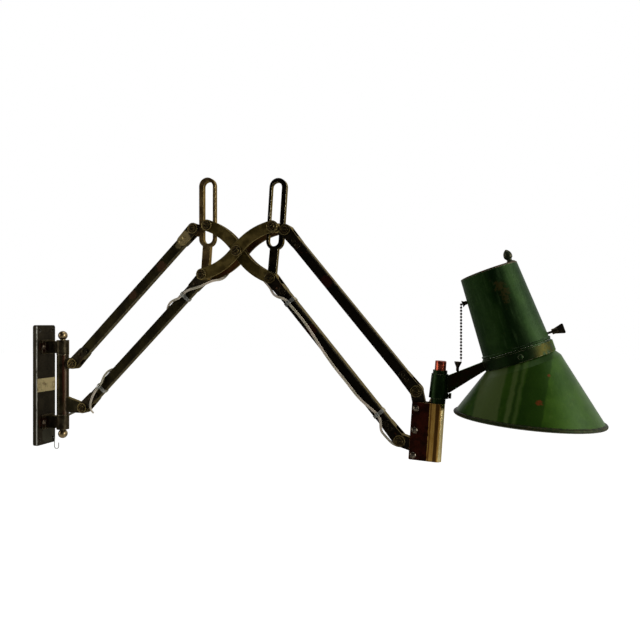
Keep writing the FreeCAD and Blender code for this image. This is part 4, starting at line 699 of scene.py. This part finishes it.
def cord_rubber():
    """Yellowed cream insulation with patches of grime."""
    s = Shader("cord_rubber")
    place = s.place()
    clouds = s.noise(place, 22.0, 5.0, 0.6)
    colour = s.mix(s.step(clouds, 0.36, 0.64), (0.36, 0.33, 0.23), (0.50, 0.42, 0.33))
    grime = s.noise(place, 4.0, 6.0, 0.7, seed=5.0)
    colour = s.mix(s.times(s.step(grime, 0.52, 0.74), 0.65), colour, (0.14, 0.11, 0.07))
    fine = s.noise(place, 0.8, 5.0, 0.7, seed=8.0)
    s.set(Base_Color=colour, Roughness=s.blend(fine, 0.45, 0.65), Specular_IOR_Level=0.35)
    s.relief(clouds, 0.0, fine, 0.03, 0.1)
    return s.material


def white_opal():
    """The bulb's frosted glass, unlit."""
    s = Shader("white_opal")
    fine = s.noise(s.place(HEAD), 2.0, 4.0, 0.6)
    s.set(Base_Color=s.mix(fine, (0.74, 0.73, 0.68), (0.80, 0.79, 0.75)),
          Roughness=s.blend(fine, 0.22, 0.34), Subsurface_Weight=0.2, Subsurface_Radius=(0.01, 0.01, 0.008))
    s.relief(fine, 0.0, fine, 0.01, 0.1)
    return s.material


def porcelain():
    s = Shader("porcelain")
    stain = s.noise(s.place(HUSK), 9.0, 5.0, 0.6)
    s.set(Base_Color=s.mix(s.step(stain, 0.4, 0.7), (0.66, 0.64, 0.57), (0.36, 0.30, 0.20)),
          Roughness=s.blend(stain, 0.18, 0.32))
    s.relief(stain, 0.05, stain, 0.0, 0.3)
    return s.material


def dark_rubber():
    s = Shader("dark_rubber")
    fine = s.noise(s.place(), 1.0, 5.0, 0.7)
    s.set(Base_Color=s.mix(fine, (0.006, 0.006, 0.006), (0.022, 0.020, 0.018)), Roughness=0.62)
    s.relief(fine, 0.0, fine, 0.03, 0.2)
    return s.material


def dress(frame):
    """Every node of the model gets the finish that its part of the object has."""
    left_pins = [LOWER_LEFT[:2], UPPER_LEFT[:2], LEFT_LINK[:2], frame_at(UPPER_LEFT, BAR_L, 0, 0)[:2],
                 RISING[:2], frame_at(RISING, SCISSOR_R, 0, 0)[:2], frame_at(FALLING, -SCISSOR_R, 0, 0)[:2]]
    right_pins = [RIGHT_LINK[:2], UPPER_RIGHT[:2], BRACKET[:2], frame_at(UPPER_RIGHT, BAR_L, 0, 0)[:2]]
    worn_cheek = [((BAR_L - 21.0, -7.0, 0.5), 12.0, (0.24, 0.185, 0.080))]
    looks = {
        wall_plate_paint(): ["wall_plate"],
        hinge_metal(): ["upper_hinge_bracket", "lower_hinge_bracket", "hinge_washers"],
        barrel_metal(): ["swivel"],
        bare_brass("name_brass", (0.62, 0.50, 0.24), rough=0.34, tarnish=0.5): [
            "name_plate", "name_plate_pins"],
        bare_brass("ball_brass", (0.30, 0.22, 0.11), rough=0.24, tarnish=0.7): [
            "hinge_pin", "pin_ball_nut"],
        screw_metal(): ["bracket_screws", "strap_screws"],
        galvanised_wire(): ["cord_hook", "lower_left_clips", "lower_right_clips"],
        dark_rubber(): ["wall_grommet", "cord_gland"],
        pin_metal("left_pins", left_pins): [
            "swivel_bolts", "left_link_bolts", "centre_bolt", "rising_slide_pin", "falling_slide_pin",
            "falling_bar_spacer"],
        pin_metal("right_pins", right_pins, tint=0.6): ["right_link_bolts", "bracket_bolts"],
        lower_left_bar_metal(): ["lower_left_bar"],
        left_bar_metal(): ["upper_left_bar"],
        fork_metal("lower_left_fork_metal", LOWER_LEFT, tint=1.3): ["lower_left_forks"],
        fork_metal("upper_left_fork_metal", UPPER_LEFT, marks=worn_cheek): ["upper_left_forks"],
        fork_metal("right_fork_metal", LOWER_RIGHT, tint=0.55): ["lower_right_forks", "upper_right_forks"],
        right_bar_metal("lower_right_metal", LOWER_RIGHT): ["lower_right_bar"],
        right_bar_metal("upper_right_metal", UPPER_RIGHT): ["upper_right_bar"],
        loop_metal(): ["left_link"],
        right_loop_metal(): ["right_link"],
        scissor_metal(): ["rising_bar_plates", "falling_bar_plates"],
        fork_metal("casting_metal", BRACKET, tint=0.8): ["bracket_casting"],
        strap_metal(): ["post_strap"],
        post_copper(): ["post"],
        arm_paint(): ["lamp_arm", "head_screws"],
        husk_enamel(): ["husk"],
        lid_paint(): ["husk_lid"],
        finial_metal(): ["lid_finial"],
        shade_enamel(): ["shade"],
        black_metal("black_metal"): ["chain_guide", "chain_anchor", "turn_key", "holder_plate"],
        black_metal("chain_metal", rough=0.26): ["bead_chain"],
        porcelain(): ["lamp_holder"],
        bare_brass("cap_brass", (0.60, 0.44, 0.18), rough=0.26, tarnish=0.2): ["bulb_cap"],
        white_opal(): ["bulb_glass"],
    }
    for material, names in looks.items():
        for name in names:
            mesh = frame["nodes"][name].data
            mesh.materials.clear()
            mesh.materials.append(material)
            mesh.shade_smooth()
            mesh.set_sharp_from_angle(angle=radians(SHARP_ANGLE))


# ---------------------------------------------------------------- flexible cord
def world(frame, *points):
    """The places of a frame's points, in the object's own axes."""
    return [point_in(frame, *p) for p in points]


def at_clip(frame, x, y, z):
    """The places just before, in and just beyond a clip, in line with its bar."""
    return world(frame, (x - CLIP_LEAD, y, z), (x, y, z), (x + CLIP_LEAD, y, z))


def cord_routes():
    """The points of each stretch of the cord; each stretch starts where the last one ends."""
    before_a, clip_a, after_a = at_clip(LOWER_LEFT, CLIP_NEAR, CLIP_EYE_LEFT, CLIP_LEFT_Z)
    before_b, clip_b, after_b = at_clip(LOWER_LEFT, CLIP_FAR, CLIP_EYE_LEFT, CLIP_LEFT_Z)
    before_c, clip_c, after_c = at_clip(LOWER_RIGHT, CLIP_NEAR, CLIP_EYE_RIGHT, CLIP_RIGHT_Z)
    before_d, clip_d, after_d = at_clip(LOWER_RIGHT, CLIP_FAR, CLIP_EYE_RIGHT, CLIP_RIGHT_Z)
    elbow_end, middle, knee_start = world(
        RISING, (-22.0, 17.6, -4.0), (-12.0, 18.2, -7.0), (-2.0, 18.8, -10.0))
    post_end, collar, head_start = world(
        HEAD, (13.0, 13.2, 83.2), (21.0, 10.4, 87.4), (29.0, 7.6, 91.6))
    return {
        "cord_wall": [
            (7.0, 17.0, -57.0), (20.0, 17.0, -57.0), (38.0, 16.8, -49.0), (58.0, 18.0, -39.5),
            (75.0, 16.6, -40.0), (88.0, 9.0, -43.0), (93.5, -3.0, -41.5),
            *world(LOWER_LEFT, (14.5, -11.4, -9.5), (26.0, -12.0, -2.5)), before_a, clip_a,
        ],
        "cord_lower_left": [clip_a, after_a] + world(
            LOWER_LEFT, (62.0, -6.9, 8.7), (73.0, -0.6, 11.7), (84.0, 0.0, 4.8), (99.0, 0.2, 1.0),
            (122.0, 0.0, 1.2), (154.0, 0.2, 0.2), (186.0, -0.2, 1.0), (205.0, 0.0, 4.4),
            (216.0, -0.6, 11.7), (227.5, -6.9, 9.0)) + [before_b, clip_b],
        "cord_elbow": [clip_b, after_b] + world(
            LEFT_END, (-29.0, -11.0, -1.5), (-19.0, -10.6, -8.0), (-9.0, -9.6, -12.0))
            + world(RISING, (-56.0, -4.0, -14.6), (-48.0, 8.0, -17.6), (-38.0, 17.4, -13.0))
            + [elbow_end, middle],
        "cord_knee": [middle, knee_start] + world(RISING, (5.4, 20.5, -16.0))
            + world(FALLING, (28.2, 18.5, -2.6), (43.0, 11.5, -11.0))
            + world(LOWER_RIGHT, (5.0, 9.5, -12.8), (18.0, 0.0, -13.4), (29.0, -11.6, -8.6))
            + [before_c, clip_c],
        "cord_bow": [clip_c, after_c] + world(
            LOWER_RIGHT, (64.0, -11.4, -0.4), (82.0, -12.8, 0.2), (104.0, -13.2, -1.6),
            (132.0, -13.5, -5.0), (160.0, -13.2, -6.6), (186.0, -12.8, -6.2), (208.0, -12.4, -7.0),
            (226.0, -11.2, -4.8)) + [before_d, clip_d],
        "cord_post": [clip_d, after_d] + world(
            RIGHT_END, (-31.0, -12.6, -7.0), (-25.0, -6.0, -12.4), (-17.5, 3.5, -14.6))
            + world(BRACKET, (-10.0, 14.0, -12.0), (5.0, 20.5, -13.0), (20.0, 20.4, 8.0), (29.0, 18.8, 36.0))
            + world(HEAD, (-9.0, 18.8, 62.0), (2.0, 17.6, 76.0)) + [post_end, collar],
        "cord_head": [collar, head_start] + world(
            HEAD, (43.0, 10.0, 98.0), (54.0, 25.0, 108.0), (57.0, 41.0, 120.0), (60.0, 53.0, 133.0))
            + world(HUSK, (-24.0, 60.5, 16.0), (-10.0, 64.0, 21.5), (0.0, 56.0, GLAND_Z),
                    (0.0, HUSK_WALL_MIDDLE, GLAND_Z)),
    }


def spline_curve(name, route):
    """The smooth curve that the cord's route controls."""
    curve = bpy.data.curves.new(name, "CURVE")
    curve.dimensions = "3D"
    curve.resolution_u = CORD_SMOOTHNESS
    line = curve.splines.new("NURBS")
    line.points.add(len(route) - 1)
    for point, place in zip(line.points, route):
        point.co = (*(c * MM for c in place), 1.0)
    line.order_u = 3
    line.use_endpoint_u = True
    return curve


def smooth_path(name, route):
    """The places that the route's own spline goes through."""
    curve = spline_curve(name + "_line", route)
    holder = bpy.data.objects.new(name + "_line", curve)
    bpy.context.scene.collection.objects.link(holder)
    mesh = bpy.data.meshes.new_from_object(holder)
    path = [v.co.copy() for v in mesh.vertices]
    bpy.data.objects.remove(holder)
    bpy.data.curves.remove(curve)
    bpy.data.meshes.remove(mesh)
    return path


def twin_section():
    """Two round wires moulded side by side, as (across, through) in metres."""
    wire = CORD_WIDTH / 4 * MM
    section = []
    for centre, start in ((wire, -WIRE_ARC), (-wire, pi - WIRE_ARC)):
        for k in range(WIRE_POINTS):
            angle = start + 2 * WIRE_ARC * k / (WIRE_POINTS - 1)
            section.append((centre + wire * cos(angle), wire * WIRE_HEIGHT * sin(angle)))
    return section


def swept(name, path, section, facing):
    """A closed tube of this section along path, its flat side facing that way at both ends."""
    tangents = [(b - a).normalized() for a, b in zip(path, path[1:])]
    tangents.append(tangents[-1])
    normal = facing - tangents[0] * facing.dot(tangents[0])
    normals = [normal.normalized()]
    for before, after in zip(tangents, tangents[1:]):
        turn = before.rotation_difference(after)
        carried = turn @ normals[-1]
        normals.append((carried - after * carried.dot(after)).normalized())
    last = tangents[-1]
    wanted = (facing - last * facing.dot(last)).normalized()
    off = atan2(normals[-1].cross(wanted).dot(last), normals[-1].dot(wanted))
    # the section looks the same after half a turn, so the shorter way round is taken
    if off > pi / 2:
        off -= pi
    if off < -pi / 2:
        off += pi
    vertices, faces = [], []
    count = len(section)
    for i, (place, tangent, normal) in enumerate(zip(path, tangents, normals)):
        normal = Quaternion(tangent, off * i / (len(path) - 1)) @ normal
        across = tangent.cross(normal)
        for u, v in section:
            vertices.append(place + across * u + normal * v)
    for i in range(len(path) - 1):
        for j in range(count):
            a, b = i * count + j, i * count + (j + 1) % count
            faces.append((a, b, b + count, a + count))
    faces.append(tuple(range(count))[::-1])
    faces.append(tuple(range((len(path) - 1) * count, len(path) * count)))
    mesh = bpy.data.meshes.new(name)
    mesh.from_pydata(vertices, [], faces)
    mesh.validate()
    mesh.shade_smooth()
    piece = bpy.data.objects.new(name, mesh)
    bpy.context.scene.collection.objects.link(piece)
    return piece


CORD_BODIES = {
    "cord_wall": ("wall", "swivel"), "cord_lower_left": ("lower_left",),
    "cord_elbow": ("lower_left", "left_link"), "cord_knee": ("right_link", "lower_right"),
    "cord_bow": ("lower_right",), "cord_post": ("lower_right", "bracket"), "cord_head": ("head",),
}


def make_cords():
    """Every stretch of the cord, in place of its stand-in in the model."""
    rubber = cord_rubber()
    section = twin_section()
    front = Vector((0.0, -1.0, 0.0))
    for name, route in cord_routes().items():
        path = smooth_path(name, route)
        piece = swept(name.replace("cord", "flex"), path, section, front)
        piece.data.materials.append(rubber)
        bodies = CORD_BODIES[name]
        if len(bodies) == 2:
            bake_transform(piece)
        else:
            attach(piece, *bodies)
        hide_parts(name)


# ---------------------------------------------------------------- studio
def make_camera():
    """Stands where the photograph was taken from."""
    camera = bpy.data.objects.new("camera", bpy.data.cameras.new("camera"))
    bpy.context.scene.collection.objects.link(camera)
    camera.location = [c * MM for c in CAMERA_PLACE]
    camera.rotation_euler = (radians(90.0), 0.0, radians(CAMERA_TURN))
    camera.data.sensor_width = SENSOR_WIDTH
    camera.data.lens = FOCAL_PIXELS / PHOTO_PIXELS * SENSOR_WIDTH
    camera.data.shift_y = OPTICAL_CENTRE_DROP / PHOTO_PIXELS
    camera.data.clip_start = 0.01
    bpy.context.scene.camera = camera


def soft_light(name, place, aim, size, power):
    """A square soft box in metres, aimed at a point."""
    light = bpy.data.lights.new(name, "AREA")
    light.size = size
    light.energy = power
    holder = bpy.data.objects.new(name, light)
    holder.location = place
    holder.rotation_euler = (Vector(aim) - Vector(place)).to_track_quat("-Z", "Y").to_euler()
    bpy.context.scene.collection.objects.link(holder)


def make_world():
    """White behind the object for the camera, and a studio that is dim in front."""
    world_data = bpy.data.worlds.new("studio")
    bpy.context.scene.world = world_data
    world_data.use_nodes = True
    tree = world_data.node_tree
    tree.nodes.clear()
    out = tree.nodes.new("ShaderNodeOutputWorld")
    where = tree.nodes.new("ShaderNodeTexCoord")
    parts = tree.nodes.new("ShaderNodeSeparateXYZ")
    tree.links.new(where.outputs["Generated"], parts.inputs["Vector"])
    ramp = tree.nodes.new("ShaderNodeMapRange")
    ramp.interpolation_type = "SMOOTHSTEP"
    tree.links.new(parts.outputs["Y"], ramp.inputs["Value"])
    for key, value in (("From Min", -0.1), ("From Max", 0.75), ("To Min", 0.015), ("To Max", 0.75)):
        ramp.inputs[key].default_value = value
    rays = tree.nodes.new("ShaderNodeLightPath")
    seen = tree.nodes.new("ShaderNodeMath")
    seen.operation = "MAXIMUM"
    tree.links.new(rays.outputs["Is Camera Ray"], seen.inputs[0])
    tree.links.new(rays.outputs["Is Transmission Ray"], seen.inputs[1])
    strength = tree.nodes.new("ShaderNodeMix")
    tree.links.new(seen.outputs[0], strength.inputs[0])
    tree.links.new(ramp.outputs["Result"], strength.inputs[2])
    strength.inputs[3].default_value = 1.0
    background = tree.nodes.new("ShaderNodeBackground")
    background.inputs["Color"].default_value = (1.0, 1.0, 1.0, 1.0)
    tree.links.new(strength.outputs[0], background.inputs["Strength"])
    tree.links.new(background.outputs["Background"], out.inputs["Surface"])


def make_floor():
    """A pale floor well below the lamp, white to the camera but for the lamp's soft shadow."""
    mesh = bpy.data.meshes.new("floor")
    corners = [(x * FLOOR_HALF, y * FLOOR_HALF, FLOOR_Z) for x, y in ((-1, -1), (1, -1), (1, 1), (-1, 1))]
    mesh.from_pydata(corners, [], [(0, 1, 2, 3)])
    floor = bpy.data.objects.new("floor", mesh)
    bpy.context.scene.collection.objects.link(floor)
    s = Shader("floor_paper")
    s.set(Base_Color=(0.62, 0.62, 0.61), Roughness=0.9, Specular_IOR_Level=0.1)
    rays = s.add("ShaderNodeLightPath")
    glow = s.times(rays.outputs["Is Camera Ray"], 0.86)
    s.set(Emission_Color=(1.0, 1.0, 1.0), Emission_Strength=glow)
    mesh.materials.append(s.material)


def make_studio():
    bpy.context.scene.view_settings.view_transform = "Standard"
    make_world()
    make_floor()
    for name, box in SOFT_BOXES.items():
        soft_light(name, box["place"], LAMP_MIDDLE, box["size"], box["power"])


# ---------------------------------------------------------------- the scene
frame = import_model()
make_camera()
make_cords()
dress(frame)
make_studio()
